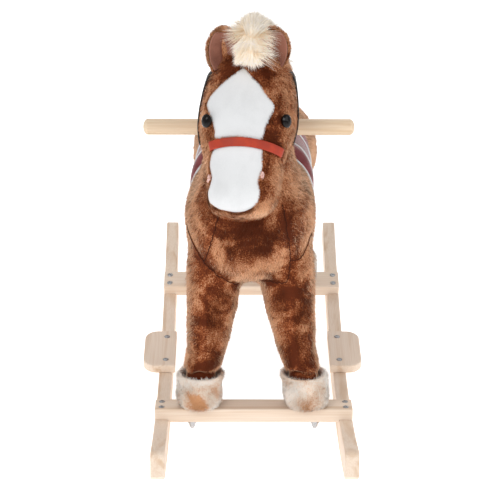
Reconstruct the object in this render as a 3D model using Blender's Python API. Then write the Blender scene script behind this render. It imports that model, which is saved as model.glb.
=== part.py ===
"""Plush rocking horse on a bent pair of wooden rockers.

Units are metres, +Z is up and the horse faces -Y, so its left side is at +X.
The origin is on the floor under the middle of the base. The rockers are arcs about one
axis, parallel to X, above the base; both crossbars, the legs and the bolts point at it.
"""

import math

import bmesh
import bpy
from mathutils import Matrix, Vector

# ---------------------------------------------------------------- driving dimensions
GAP = 0.0003  # clearance between pieces that touch
FIT = 0.0006  # clearance of padding round the wooden posts inside it

ROCKER_RADIUS = 0.840  # top edge of the rocker boards
ROCKER_HEIGHT = 0.038  # radial height of a board
ROCKER_THICKNESS = 0.018
ROCKER_HALF_ARC = math.radians(21.05)
ROCKER_HALF_SPAN = 0.1315  # outer face of a board from the middle plane
ROCKER_CORNER = 0.007  # rounding of the upper tip corners
ROCKER_HEEL = 0.010  # chamfer under the tips
ROCKER_FACETS = 15

CROSSBAR_ANGLE = math.radians(11.4)  # each way from the middle, about the rocker axis
CROSSBAR_WIDTH = 0.034
CROSSBAR_THICKNESS = 0.019
CROSSBAR_NOTCH = 0.0032  # how far a crossbar is let down over the boards
WOOD_EDGE = 0.0012  # softened edges of all boards

FOOTREST_LENGTH = 0.0896
FOOTREST_WIDTH = 0.045
FOOTREST_THICKNESS = 0.0134
FOOTREST_OVERHANG = 0.0045  # past the inner face of the rocker board
FOOTREST_Y = 0.0018
FOOTREST_CORNER = 0.018  # round outer corners

SCREW_HEAD_RADIUS = 0.0042
SCREW_SHANK_RADIUS = 0.0019
SCREW_LENGTH = 0.030
SCREW_DOME = 0.0009
CROSS_RECESS = 0.0011  # width of one wing of the cross recess
CROSSBAR_SCREW_PITCH = 0.0175
FOOTREST_SCREW_PITCH = 0.059

BOLT_RADIUS = 0.003
BOLT_X = 0.082
BOLT_IN_POST = 0.018  # how far a leg bolt runs up into its post
NUT_ACROSS_FLATS = 0.010
NUT_HEX_HEIGHT = 0.006
NUT_DOME_HEIGHT = 0.0085
WASHER_RADIUS = 0.0065
WASHER_THICKNESS = 0.0012

POST_WIDTH = 0.022
POST_FOOT_X = 0.080
POST_TOP_X = 0.042
SEAT_BOARD_Z = 0.318
SEAT_BOARD_THICKNESS = 0.012
SEAT_BOARD_LIP = 0.001  # past the leg posts, at each end
SEAT_BOARD_WIDTH = 0.126
NECK_POST_WIDTH = 0.034
NECK_POST_WALL = 0.0028  # wood in front of and behind the handle
NECK_POST_RISE = 0.033  # above the handle's axis

HANDLE_Y = -0.100
HANDLE_Z = 0.449
HANDLE_RADIUS = 0.0102
HANDLE_LENGTH = 0.265

# The stuffed horse stands a little askew on its legs: it leans to its right as it rises,
# its rump sits to its left, and its head is turned and tipped.
LEAN_FROM_Z = 0.030
LEAN = -0.0205  # sideways per metre up
SKEW = 0.135  # sideways per metre up and per metre back
SKEW_FROM_Y = -0.110
HEAD_X, HEAD_Y, HEAD_Z = -0.0115, -0.190, 0.500
HEAD_TURN = 0.080
HEAD_TILT = 0.015

# Stations of the stuffed shapes: place along the part, half width, half height or depth,
# and for the torso and neck the other coordinate of the middle.
TORSO = (
    (-0.180, 0.026, 0.034, 0.330),
    (-0.168, 0.054, 0.058, 0.326),
    (-0.145, 0.076, 0.074, 0.320),
    (-0.105, 0.0875, 0.080, 0.316),
    (-0.045, 0.084, 0.076, 0.317),
    (0.020, 0.079, 0.070, 0.316),
    (0.060, 0.080, 0.070, 0.313),
    (0.100, 0.087, 0.075, 0.307),
    (0.135, 0.0905, 0.078, 0.303),
    (0.170, 0.082, 0.070, 0.305),
    (0.195, 0.057, 0.050, 0.312),
    (0.206, 0.027, 0.024, 0.318),
)
NECK = (
    (0.330, 0.076, 0.074, -0.100),
    (0.367, 0.072, 0.072, -0.098),
    (0.405, 0.060, 0.064, -0.096),
    (0.450, 0.054, 0.055, -0.098),
    (0.490, 0.052, 0.050, -0.104),
    (0.530, 0.044, 0.042, -0.110),
)
# Along the head from the poll: distance, half width, half height.
HEAD_START = (-0.128, 0.5236)
HEAD_SLOPE = math.radians(45.6)
HEAD = (
    (-0.050, 0.024, 0.020),
    (-0.040, 0.038, 0.032),
    (-0.022, 0.050, 0.043),
    (0.000, 0.057, 0.049),
    (0.030, 0.0615, 0.053),
    (0.060, 0.0625, 0.054),
    (0.088, 0.056, 0.050),
    (0.110, 0.049, 0.045),
    (0.130, 0.047, 0.043),
    (0.148, 0.0465, 0.041),
    (0.162, 0.041, 0.035),
    (0.171, 0.030, 0.025),
    (0.175, 0.014, 0.012),
)
# Up the leg: height over the crossbar along the leg, distance of the middle from the
# body's middle plane, half width and half depth.
HOOF = (
    (0.0002, 0.0715, 0.024, 0.024),
    (0.006, 0.0715, 0.0295, 0.0295),
    (0.020, 0.071, 0.0315, 0.0320),
    (0.036, 0.070, 0.0305, 0.0310),
    (0.050, 0.067, 0.0295, 0.0295),
)
LEG = (
    (0.0505, 0.067, 0.0275, 0.0280),
    (0.085, 0.058, 0.029, 0.031),
    (0.140, 0.051, 0.036, 0.036),
    (0.200, 0.046, 0.040, 0.041),
    (0.255, 0.042, 0.036, 0.038),
)
PLUSH_ROUNDNESS = 2.3
HEAD_ROUNDNESS = 2.2
AROUND = 24  # facets round the torso, neck and head
AROUND_LEG = 16
REAR_INSET = 0.005  # the hind legs stand this much closer together than the front ones

EAR_X, EAR_Y, EAR_BASE_Z = 0.0268, -0.145, 0.545
EARS_MIDDLE = -0.003  # the ears sit this much to the head's right
EAR_WIDTH, EAR_HEIGHT, EAR_THICKNESS = 0.046, 0.056, 0.012
EYE_ALONG, EYE_ACROSS, EYE_UP = 0.063, 0.0475, 0.0355
EYE_WIDTH, EYE_HEIGHT, EYE_DEPTH = 0.014, 0.017, 0.007

NOSEBAND_ALONG = 0.090
NOSEBAND_WIDTH = 0.011
STRAP_WIDTH = 0.013
STRAP_THICKNESS = 0.002
STRAP_TOP_ALONG = -0.034  # where the headstall crosses behind the ears
STRAP_HUG = 0.45  # how closely the headstall keeps to the sides of the head
STRAP_DROP = math.radians(5)  # how far below the widest line of the head it ends

SADDLE_FRONT, SADDLE_BACK = -0.040, 0.062
SADDLE_PAD = 0.006
POMMEL_RISE, CANTLE_RISE = 0.012, 0.014
SADDLE_WRAP = math.radians(3)  # how far the flaps reach below the torso's middle

TAIL_ROOT_IN, TAIL_ROOT_Z = 0.002, 0.340  # in from the torso's rear end, and height
TAIL_CLEARANCE = 0.002  # lets the tail's root turn as the tail swings up
TAIL = (  # distance back of the root, below the root, half width, half thickness
    (0.008, -0.002, 0.010, 0.008),
    (0.021, 0.006, 0.018, 0.014),
    (0.029, 0.030, 0.024, 0.018),
    (0.033, 0.080, 0.027, 0.020),
    (0.033, 0.130, 0.023, 0.018),
    (0.031, 0.170, 0.013, 0.010),
    (0.030, 0.182, 0.005, 0.004),
)
MANE_WIDTH = 0.019

# ---------------------------------------------------------------- worked-out places
AXIS_Z = ROCKER_RADIUS + ROCKER_HEIGHT  # height of the rockers' axis
CROSSBAR_TOP = ROCKER_RADIUS - CROSSBAR_THICKNESS + CROSSBAR_NOTCH  # radius of its face
CROSSBAR_UNDER = CROSSBAR_TOP + CROSSBAR_THICKNESS
RAIL_X = ROCKER_HALF_SPAN - ROCKER_THICKNESS / 2
POST_TOP_Z = SEAT_BOARD_Z - GAP
POST_FOOT_Y = CROSSBAR_TOP * math.sin(CROSSBAR_ANGLE)
POST_FOOT_Z = AXIS_Z - CROSSBAR_TOP * math.cos(CROSSBAR_ANGLE)
POST_TOP_Y = POST_FOOT_Y - math.tan(CROSSBAR_ANGLE) * (POST_TOP_Z - POST_FOOT_Z)
TAIL_ROOT_Y = TORSO[-1][0] - TAIL_ROOT_IN
SEAT_BOARD_TOP = SEAT_BOARD_Z + SEAT_BOARD_THICKNESS
SEAT_BOARD_LENGTH = 2 * (POST_TOP_Y + POST_WIDTH / 2 + SEAT_BOARD_LIP)
NECK_POST_DEPTH = 2 * (HANDLE_RADIUS + NECK_POST_WALL)
NECK_POST_TOP = HANDLE_Z + NECK_POST_RISE
SIDES = (("left", 1), ("right", -1))
ENDS = (("front", -1), ("rear", 1))


def base_frame(end, radius, x=0.0):
    """A frame on the arc: local Z points at the rocker axis and local Y along the arc."""
    angle = end * CROSSBAR_ANGLE
    place = Vector((x, radius * math.sin(angle), AXIS_Z - radius * math.cos(angle)))
    return Matrix.Translation(place) @ Matrix.Rotation(angle, 4, "X")


def body_x(y, z):
    """Sideways place of the horse's middle at a height and a distance along it."""
    return (z - LEAN_FROM_Z) * (LEAN + SKEW * (y - SKEW_FROM_Y))


def head_x(y, z):
    return HEAD_X + HEAD_TURN * (y - HEAD_Y) + HEAD_TILT * (z - HEAD_Z)


# ---------------------------------------------------------------- making objects
def clear_scene():
    for obj in list(bpy.data.objects):
        bpy.data.objects.remove(obj)


def finish_material(name, colour, roughness, metallic=0.0):
    material = bpy.data.materials.new(name)
    material.use_nodes = True
    shader = material.node_tree.nodes["Principled BSDF"]
    shader.inputs["Base Color"].default_value = (*colour, 1.0)
    shader.inputs["Roughness"].default_value = roughness
    shader.inputs["Metallic"].default_value = metallic
    return material


def mesh_object(name, bm, material, smooth=False, helper=False):
    """A named object from bm. A helper is a cutter, which is never part of the model."""
    bmesh.ops.recalc_face_normals(bm, faces=bm.faces)
    mesh = bpy.data.meshes.new(name)
    bm.to_mesh(mesh)
    bm.free()
    obj = bpy.data.objects.new(name, mesh)
    bpy.context.scene.collection.objects.link(obj)
    if material:
        mesh.materials.append(material)
    if smooth:
        mesh.shade_smooth()
        mesh.set_sharp_from_angle(angle=math.radians(38))
    if helper:
        obj.hide_render = True
        obj.display_type = "WIRE"
    return obj


def cut(obj, *cutters):
    for cutter in cutters:
        modifier = obj.modifiers.new("Cut " + cutter.name, "BOOLEAN")
        modifier.operation = "DIFFERENCE"
        modifier.object = cutter


def box(name, size, place, material=None, edge=0.0, helper=False):
    """A box of that size in the frame that place gives, with its edges softened."""
    bm = bmesh.new()
    bmesh.ops.create_cube(bm, size=1.0)
    bmesh.ops.scale(bm, vec=size, verts=bm.verts)
    if edge:
        bmesh.ops.bevel(bm, geom=bm.edges[:], offset=edge, segments=1, affect="EDGES")
    bmesh.ops.transform(bm, matrix=place, verts=bm.verts)
    return mesh_object(name, bm, material, helper=helper)


def prism(name, outline, depth, place, material=None, edge=0.0):
    """An outline in local X and Y, extruded up local Z by depth."""
    bm = bmesh.new()
    face = bm.faces.new([bm.verts.new((x, y, 0.0)) for x, y in outline])
    made = bmesh.ops.extrude_face_region(bm, geom=[face])["geom"]
    raised = [item for item in made if isinstance(item, bmesh.types.BMVert)]
    bmesh.ops.translate(bm, vec=(0, 0, depth), verts=raised)
    if edge:
        rims = [e for e in bm.edges if abs(e.verts[0].co.z - e.verts[1].co.z) < 1e-6]
        bmesh.ops.bevel(bm, geom=rims, offset=edge, segments=1, affect="EDGES")
    bmesh.ops.transform(bm, matrix=place, verts=bm.verts)
    return mesh_object(name, bm, material, smooth=True)


def turned(name, profile, place, material=None, facets=12, helper=False):
    """A profile of (radius, height) from the bottom to the top, turned about local Z."""
    bm = bmesh.new()
    rings = []
    for radius, height in profile:
        if radius == 0.0:
            rings.append([bm.verts.new((0, 0, height))])
            continue
        turns = [2 * math.pi * i / facets for i in range(facets)]
        rings.append(
            [bm.verts.new((radius * math.cos(t), radius * math.sin(t), height)) for t in turns]
        )
    bridge(bm, rings)
    bmesh.ops.transform(bm, matrix=place, verts=bm.verts)
    return mesh_object(name, bm, material, smooth=True, helper=helper)


def bridge(bm, rings):
    """Joins each ring to the next, and closes both ends."""
    for low, high in zip(rings, rings[1:]):
        count = max(len(low), len(high))
        for i in range(count):
            j = (i + 1) % count
            if len(low) == 1:
                bm.faces.new((low[0], high[i], high[j]))
            elif len(high) == 1:
                bm.faces.new((low[i], low[j], high[0]))
            else:
                bm.faces.new((low[i], low[j], high[j], high[i]))
    for ring in (rings[0], rings[-1]):
        if len(ring) > 2:
            bm.faces.new(ring)


def oval(middle, across, up, half_width, half_height, count, roundness=2.0):
    """Points of a rounded oval about middle, in the plane of across and up."""
    points = []
    for i in range(count):
        angle = 2 * math.pi * i / count
        c, s = math.cos(angle), math.sin(angle)
        u = math.copysign(abs(c) ** (2 / roundness), c) * half_width
        v = math.copysign(abs(s) ** (2 / roundness), s) * half_height
        points.append(middle + across * u + up * v)
    return points


def loft(name, rings, material=None, smooth=True, helper=False):
    bm = bmesh.new()
    bridge(bm, [[bm.verts.new(point) for point in ring] for ring in rings])
    return mesh_object(name, bm, material, smooth=smooth, helper=helper)


def smooth_stations(stations, between):
    """Stations with more of them put between on a smooth curve through their values."""
    made = []
    last = len(stations) - 1
    for i in range(last):
        four = [stations[min(max(k, 0), last)] for k in (i - 1, i, i + 1, i + 2)]
        for step in range(between + 1):
            t = step / (between + 1)
            made.append(tuple(curve_value(values, t) for values in zip(*four)))
    return [*made, stations[-1]]


def curve_value(four, t):
    a, b, c, d = four
    return 0.5 * (
        2 * b + (c - a) * t + (2 * a - 5 * b + 4 * c - d) * t**2 + (3 * b - a - 3 * c + d) * t**3
    )


# ---------------------------------------------------------------- the wooden base
def arc_points(radius, start, end, count):
    """Points on the rocker arc, as (distance along Y, height), evenly spaced by angle."""
    angles = [start + (end - start) * i / count for i in range(count + 1)]
    return [(radius * math.sin(a), AXIS_Z - radius * math.cos(a)) for a in angles]


def rocker_outline():
    """Side view of a board: bottom arc, both tips with their corners, and top arc.

    The bottom's facets touch the true arc at their middles, so the middle one lies flat on
    the floor.
    """
    outer = ROCKER_RADIUS + ROCKER_HEIGHT
    half = ROCKER_HALF_ARC
    heel, corner = ROCKER_HEEL / outer, ROCKER_CORNER / ROCKER_RADIUS
    facet = 2 * (half - heel) / ROCKER_FACETS
    bottom = arc_points(outer / math.cos(facet / 2), -half + heel, half - heel, ROCKER_FACETS)
    top = arc_points(ROCKER_RADIUS, half - corner, -half + corner, ROCKER_FACETS)

    def tip(side):
        edge = arc_points(outer - ROCKER_HEEL * 0.6, side * half, side * half, 1)[:1]
        steps = [math.radians(d) for d in (0, 30, 60)]
        for a in steps:
            radius = ROCKER_RADIUS + ROCKER_CORNER * (1 - math.sin(a))
            angle = half - corner * (1 - math.cos(a))
            edge += arc_points(radius, side * angle, side * angle, 1)[:1]
        return edge

    return [*bottom, *tip(1), *top, *reversed(tip(-1))]


def build_rockers(wood):
    """The two boards, standing on edge, with their outer faces ROCKER_HALF_SPAN out."""
    boards = {}
    for name, side in SIDES:
        upright = Matrix(((0, 0, 1, 0), (1, 0, 0, 0), (0, 1, 0, 0), (0, 0, 0, 1)))
        inner = min(side * ROCKER_HALF_SPAN, side * (ROCKER_HALF_SPAN - ROCKER_THICKNESS))
        place = Matrix.Translation((inner, 0, 0)) @ upright
        board = prism(
            "rocker_" + name, rocker_outline(), ROCKER_THICKNESS, place, wood, WOOD_EDGE
        )
        boards[name] = board
    return boards


def build_crossbars(wood):
    bars = {}
    for end_name, end in ENDS:
        middle = base_frame(end, CROSSBAR_TOP + CROSSBAR_THICKNESS / 2)
        size = (2 * ROCKER_HALF_SPAN, CROSSBAR_WIDTH, CROSSBAR_THICKNESS)
        bar = box(end_name + "_crossbar", size, middle, wood, WOOD_EDGE)
        for name, side in SIDES:
            notch_x = side * (RAIL_X + ROCKER_THICKNESS)
            width = 3 * ROCKER_THICKNESS + 2 * GAP
            height = 2 * (CROSSBAR_NOTCH + 2 * GAP)
            notch = box(
                f"cut_notch_{end_name}_{name}",
                (width, 2 * CROSSBAR_WIDTH, height),
                base_frame(end, CROSSBAR_UNDER, notch_x),
                helper=True,
            )
            cut(bar, notch)
        bars[end_name] = bar
    return bars


def footrest_outline(side):
    """From above, with both outer corners round and the inner edge straight."""
    inner = ROCKER_HALF_SPAN - ROCKER_THICKNESS - FOOTREST_OVERHANG
    outer = inner + FOOTREST_WIDTH
    half = FOOTREST_LENGTH / 2
    points = [(inner, half), (inner, -half)]
    for centre_y, start in ((-half + FOOTREST_CORNER, -90), (half - FOOTREST_CORNER, 0)):
        for step in range(7):
            angle = math.radians(start + 15 * step)
            points.append(
                (
                    outer - FOOTREST_CORNER + FOOTREST_CORNER * math.cos(angle),
                    centre_y + FOOTREST_CORNER * math.sin(angle),
                )
            )
    return [(side * x, y + FOOTREST_Y) for x, y in points]


def build_footrests(wood, boards):
    """The foot boards, each let into a level seat across the top of its rocker."""
    rests = {}
    for name, side in SIDES:
        place = Matrix.Translation((0, 0, ROCKER_HEIGHT + GAP))
        rests[name] = prism(
            "footrest_" + name, footrest_outline(side), FOOTREST_THICKNESS, place, wood, WOOD_EDGE
        )
        seat = box(
            "cut_seat_" + name,
            (2 * ROCKER_THICKNESS, FOOTREST_LENGTH + 4 * GAP, ROCKER_HEIGHT),
            Matrix.Translation((side * RAIL_X, FOOTREST_Y, 1.5 * ROCKER_HEIGHT)),
            helper=True,
        )
        cut(boards[name], seat)
    return rests


# ---------------------------------------------------------------- fasteners
def screw_profile(grow=0.0):
    """A countersunk wood screw whose head is flush with local Z = 0."""
    head, shank = SCREW_HEAD_RADIUS + grow, SCREW_SHANK_RADIUS + grow
    top = SCREW_DOME + (0.004 if grow else 0.0)
    crown = head if grow else head * 0.6
    return (
        (0.0, -SCREW_LENGTH - grow),
        (shank, -SCREW_LENGTH + 0.003 - grow),
        (shank, -0.0026 - grow),
        (head, -0.0002),
        (crown, top),
        (0.0, top + (0.0 if grow else 0.0002)),
    )


def build_screw(name, place, steel, *holed):
    """A cross-head screw, and its hole through each piece that it holds."""
    screw = turned(name, screw_profile(), place, steel, facets=10)
    for turn in (0, 90):
        wing = box(
            f"cut_recess_{name}_{turn}",
            (SCREW_HEAD_RADIUS * 1.15, CROSS_RECESS, 0.0036),
            place
            @ Matrix.Translation((0, 0, SCREW_DOME))
            @ Matrix.Rotation(math.radians(turn + 20), 4, "Z"),
            helper=True,
        )
        cut(screw, wing)
    hole = turned("cut_hole_" + name, screw_profile(GAP), place, facets=10, helper=True)
    for piece in holed:
        cut(piece, hole)


def build_screws(steel, boards, bars, rests):
    for name, side in SIDES:
        for end_name, end in ENDS:
            face = base_frame(end, CROSSBAR_TOP, side * RAIL_X)
            for row, shift in (("fore", -1), ("aft", 1)):
                offset = Matrix.Translation((0, shift * CROSSBAR_SCREW_PITCH / 2, 0))
                build_screw(
                    f"{end_name}_screw_{name}_{row}",
                    face @ offset,
                    steel,
                    bars[end_name],
                    boards[name],
                )
        for row, shift in (("fore", -1), ("aft", 1)):
            y = FOOTREST_Y + shift * FOOTREST_SCREW_PITCH / 2
            top = ROCKER_HEIGHT + GAP + FOOTREST_THICKNESS
            place = Matrix.Translation((side * RAIL_X, y, top))
            build_screw(f"footrest_screw_{name}_{row}", place, steel, rests[name], boards[name])


def build_leg_bolts(steel, bars, posts):
    """A bolt up through the crossbar into each post, with a washer and a cap nut under it."""
    for end_name, end in ENDS:
        for name, side in SIDES:
            under = base_frame(end, CROSSBAR_UNDER + GAP, side * BOLT_X)
            tag = f"{end_name}_{name}"
            below = WASHER_THICKNESS + NUT_HEX_HEIGHT
            above = CROSSBAR_THICKNESS + BOLT_IN_POST
            radius = BOLT_RADIUS
            shank = ((radius, -below), (radius, above - 0.001), (radius - 0.001, above))
            turned("leg_bolt_" + tag, shank, under, steel, facets=12)
            wide = radius + GAP
            clearance = ((wide, -below - GAP), (wide, above + GAP))
            hole = turned("cut_bolt_" + tag, clearance, under, facets=12, helper=True)
            cut(bars[end_name], hole)
            cut(posts[tag], hole)
            ring = ((WASHER_RADIUS, -WASHER_THICKNESS), (WASHER_RADIUS, 0))
            cut(turned("washer_" + tag, ring, under, steel, facets=16), hole)
            corner = NUT_ACROSS_FLATS / math.sqrt(3)
            top = -WASHER_THICKNESS - GAP
            base = top - NUT_HEX_HEIGHT
            nut = turned(
                "cap_nut_" + tag, ((corner, base), (corner, top)), under, steel, facets=6
            )
            dome_radius = 0.45 * NUT_ACROSS_FLATS
            dome = [
                (dome_radius * math.sin(a), base - NUT_DOME_HEIGHT * math.cos(a))
                for a in (math.radians(30 * k) for k in range(4))
            ]
            dome = [*dome, (dome_radius, base + 0.001), (0.0, base + 0.001)]
            cap = turned("cut_dome_" + tag, dome, under, facets=12, helper=True)
            join = nut.modifiers.new("Dome", "BOOLEAN")
            join.operation = "UNION"
            join.object = cap
            cut(nut, hole)


# ---------------------------------------------------------------- wood inside the horse
def post_ring(x, y, z, half, tilt):
    """A square round a post's middle, in a plane tilted about X."""
    across, along = Vector((half, 0, 0)), Vector((0, math.cos(tilt), math.sin(tilt))) * half
    middle = Vector((x, y, z))
    return [middle - across - along, middle + across - along, middle + across + along,
            middle - across + along]


def post_rings(side, end, grow=0.0):
    """From the crossbar's top to the seat board, leaning with the leg that covers it."""
    angle = end * CROSSBAR_ANGLE
    half = POST_WIDTH / 2 + grow
    foot = base_frame(end, CROSSBAR_TOP + (GAP if grow else -GAP)).translation
    top_y = end * POST_TOP_Y
    top_x = side * POST_TOP_X + body_x(top_y, POST_TOP_Z)
    top_z = POST_TOP_Z + (2 * GAP if grow else 0.0)
    return [
        post_ring(side * POST_FOOT_X, foot.y, foot.z, half, angle),
        post_ring(top_x, top_y, top_z, half, 0.0),
    ]


def build_inner_frame(wood):
    """Leg posts, the seat board on them, the neck post, and the cutters of all of them."""
    posts, cutters = {}, {}
    for end_name, end in ENDS:
        for name, side in SIDES:
            tag = f"{end_name}_{name}"
            posts[tag] = loft("leg_post_" + tag, post_rings(side, end), wood, smooth=False)
            cutters[tag] = loft("cut_post_" + tag, post_rings(side, end, FIT), helper=True)
    middle = body_x(0.0, SEAT_BOARD_Z)
    board_size = Vector((SEAT_BOARD_WIDTH, SEAT_BOARD_LENGTH, SEAT_BOARD_THICKNESS))
    board_place = Matrix.Translation((middle, 0, SEAT_BOARD_Z + SEAT_BOARD_THICKNESS / 2))
    box("seat_board", board_size, board_place, wood, WOOD_EDGE)
    room = board_size + Vector((2 * FIT, 2 * FIT, 2 * FIT))
    cutters["seat_board"] = box("cut_seat_board", room, board_place, helper=True)
    low, high = SEAT_BOARD_TOP + GAP, NECK_POST_TOP
    neck_x = body_x(HANDLE_Y, HANDLE_Z)
    post_place = Matrix.Translation((neck_x, HANDLE_Y, (low + high) / 2))
    size = Vector((NECK_POST_WIDTH, NECK_POST_DEPTH, high - low))
    neck_post = box("neck_post", size, post_place, wood, WOOD_EDGE)
    neck_cutter = box(
        "cut_neck_post", size + Vector((2 * FIT, 2 * FIT, 4 * FIT)), post_place, helper=True
    )
    return posts, cutters, neck_post, neck_cutter


def build_handle(wood, neck_post):
    """The turned handle with domed ends, through the neck post."""
    place = Matrix.Translation((body_x(HANDLE_Y, HANDLE_Z), HANDLE_Y, HANDLE_Z))
    place = place @ Matrix.Rotation(math.radians(90), 4, "Y")
    half, radius = HANDLE_LENGTH / 2, HANDLE_RADIUS
    steps = [math.radians(d) for d in (20, 45, 70)]
    end = [(radius * math.sin(a), half - 0.006 * (1 - math.cos(a))) for a in steps]
    end = [(0.0, half), *end, (radius, half - 0.006)]
    profile = [(r, -h) for r, h in end] + [(r, h) for r, h in reversed(end)]
    turned("handle_bar", profile, place, wood, facets=20)
    wide = radius + GAP
    hole = ((wide, -half), (wide, half))
    cutter = turned("cut_handle", hole, place, facets=20, helper=True)
    cut(neck_post, cutter)
    return cutter


# ---------------------------------------------------------------- the stuffed horse
X_AXIS, Y_AXIS, Z_AXIS = Vector((1, 0, 0)), Vector((0, 1, 0)), Vector((0, 0, 1))


def torso_rings(grow=0.0, between=1):
    rings = []
    for y, width, height, z in smooth_stations(TORSO, between):
        middle = Vector((body_x(y, z), y, z))
        rings.append(
            oval(middle, X_AXIS, Z_AXIS, width + grow, height + grow, AROUND, PLUSH_ROUNDNESS)
        )
    return stretch_ends(rings, grow)


def stretch_ends(rings, grow):
    """Moves the end rings out along the shape by grow."""
    if grow:
        for end, beside in ((0, 1), (-1, -2)):
            a = sum(rings[end], Vector()) / len(rings[end])
            b = sum(rings[beside], Vector()) / len(rings[beside])
            push = (a - b).normalized() * grow
            rings[end] = [point + push for point in rings[end]]
    return rings


def neck_rings(grow=0.0):
    rings = []
    for z, width, depth, y in smooth_stations(NECK, 1):
        middle = Vector((body_x(y, z) if z < HANDLE_Z else head_x(y, z), y, z))
        rings.append(oval(middle, X_AXIS, Y_AXIS, width + grow, depth + grow, AROUND, 2.1))
    return rings


HEAD_ALONG = Vector((0, -math.cos(HEAD_SLOPE), -math.sin(HEAD_SLOPE)))
HEAD_UP = Vector((0, -math.sin(HEAD_SLOPE), math.cos(HEAD_SLOPE)))


def head_middle(along, up=0.0):
    """A point in the head's middle plane, along it from the poll and up towards the face."""
    start = Vector((0, *HEAD_START))
    place = start + HEAD_ALONG * along + HEAD_UP * up
    place.x = head_x(place.y, place.z)
    return place


def head_rings(grow=0.0):
    rings = []
    for along, width, height in smooth_stations(HEAD, 1):
        middle = head_middle(along)
        rings.append(
            oval(middle, X_AXIS, HEAD_UP, width + grow, height + grow, AROUND, HEAD_ROUNDNESS)
        )
    return stretch_ends(rings, grow)


def head_size(along):
    """Half width and half height of the head at a distance from the poll."""
    stations = smooth_stations(HEAD, 3)
    for near, far in zip(stations, stations[1:]):
        if near[0] <= along <= far[0]:
            t = (along - near[0]) / (far[0] - near[0])
            return tuple(a + (b - a) * t for a, b in zip(near[1:], far[1:]))
    return stations[-1][1:]


def leg_rings(stations, side, end, grow=0.0):
    """Rings up a leg, square to it, over the crossbar."""
    rings = []
    frame = base_frame(end, CROSSBAR_TOP)
    up = (frame.to_3x3() @ Z_AXIS).normalized()
    along = (frame.to_3x3() @ Y_AXIS).normalized()
    foot = frame.translation
    for height, x, width, depth in stations:
        middle = foot + up * (height + GAP)
        inset = REAR_INSET if end > 0 else 0.0
        middle.x = side * (x - inset) + body_x(middle.y, middle.z)
        rings.append(
            oval(middle, X_AXIS, along, width + grow, depth + grow, AROUND_LEG, 2.2)
        )
    return rings


def build_legs(plush, cream, torso_cutter, wood_cutters):
    """Leg sleeves that end at the torso, and the hoof cuffs under them."""
    for end_name, end in ENDS:
        for name, side in SIDES:
            post = wood_cutters[f"{end_name}_{name}"]
            hoof = loft(f"hoof_cuff_{end_name}_{name}", leg_rings(HOOF, side, end), cream)
            cut(hoof, post)
            sleeve = loft(f"leg_sleeve_{end_name}_{name}", leg_rings(LEG, side, end), plush)
            cut(sleeve, post, wood_cutters["seat_board"], torso_cutter)


def band_point(along, angle, lift):
    """On the head's surface: along it, round it by angle, and out by lift."""
    width, height = head_size(along)
    c, s = math.cos(angle), math.sin(angle)
    power = 2 / HEAD_ROUNDNESS
    u = math.copysign(abs(c) ** power, c) * (width + lift)
    v = math.copysign(abs(s) ** power, s) * (height + lift)
    return head_middle(along) + X_AXIS * u + HEAD_UP * v


def noseband_rings(grow=0.0):
    """Cross sections of the band right round the muzzle."""
    half = NOSEBAND_WIDTH / 2 + grow
    near, far = NOSEBAND_ALONG - half, NOSEBAND_ALONG + half
    low, high = 3 * GAP - grow, 3 * GAP + STRAP_THICKNESS + grow
    corners = ((near, low), (far, low), (far, high), (near, high))
    turns = [math.pi * i / AROUND for i in range(2 * AROUND)]
    return [[band_point(along, turn, lift) for along, lift in corners] for turn in turns]


def closed_band(name, rings, material=None, helper=False):
    bm = bmesh.new()
    rings = [[bm.verts.new(point) for point in ring] for ring in rings]
    for ring, following in zip(rings, rings[1:] + rings[:1]):
        for i in range(4):
            j = (i + 1) % 4
            bm.faces.new((ring[i], ring[j], following[j], following[i]))
    return mesh_object(name, bm, material, smooth=True, helper=helper)


def headstall_rings(grow=0.0):
    """Cross sections of the strap from one noseband end over the poll to the other."""
    rings = []
    steps = 32
    ends_at = NOSEBAND_ALONG - NOSEBAND_WIDTH / 2 - STRAP_WIDTH / 2 - 4 * GAP
    for i in range(steps + 1):
        turn = math.pi * i / steps
        angle = turn - STRAP_HUG * math.sin(2 * turn) - STRAP_DROP * math.cos(turn)
        along = ends_at + (STRAP_TOP_ALONG - ends_at) * math.sin(turn)
        half = STRAP_WIDTH / 2 + grow
        low, high = 3 * GAP - grow, 3 * GAP + STRAP_THICKNESS + grow
        corners = ((along - half, low), (along + half, low), (along + half, high),
                   (along - half, high))
        rings.append([band_point(a, angle, lift) for a, lift in corners])
    return rings


def ear_rings(side, grow=0.0):
    """A cupped leaf: narrow base, wide middle and a pointed tip leaning outwards."""
    rings = []
    shape = ((0.0, 0.62, 1.0), (0.2, 0.9, 1.0), (0.45, 1.0, 0.9), (0.7, 0.78, 0.7),
             (0.88, 0.42, 0.5), (1.0, 0.10, 0.3))
    for up, width, depth in shape:
        z = EAR_BASE_Z + EAR_HEIGHT * up
        y = EAR_Y - 0.004 * up
        x = EARS_MIDDLE + side * (EAR_X + 0.002 * up) + head_x(y, z)
        middle = Vector((x, y, z))
        across = Vector((math.cos(0.35), -side * math.sin(0.35), 0))
        forward = Vector((side * math.sin(0.35), math.cos(0.35), 0))
        half_width = EAR_WIDTH / 2 * width + grow
        half_depth = EAR_THICKNESS / 2 * depth + grow
        rings.append(oval(middle, across, forward, half_width, half_depth, 12))
    return rings


def eye_place(side):
    """A frame on the side of the brow, with local Z pointing out of the head."""
    place = head_middle(EYE_ALONG, EYE_UP)
    place.x += side * EYE_ACROSS
    outward = Vector((side * 0.62, -0.74, 0.26)).normalized()
    up = (Z_AXIS - outward * Z_AXIS.dot(outward)).normalized()
    across = up.cross(outward)
    turn = Matrix((across, up, outward)).transposed().to_4x4()
    return Matrix.Translation(place) @ turn


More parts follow.
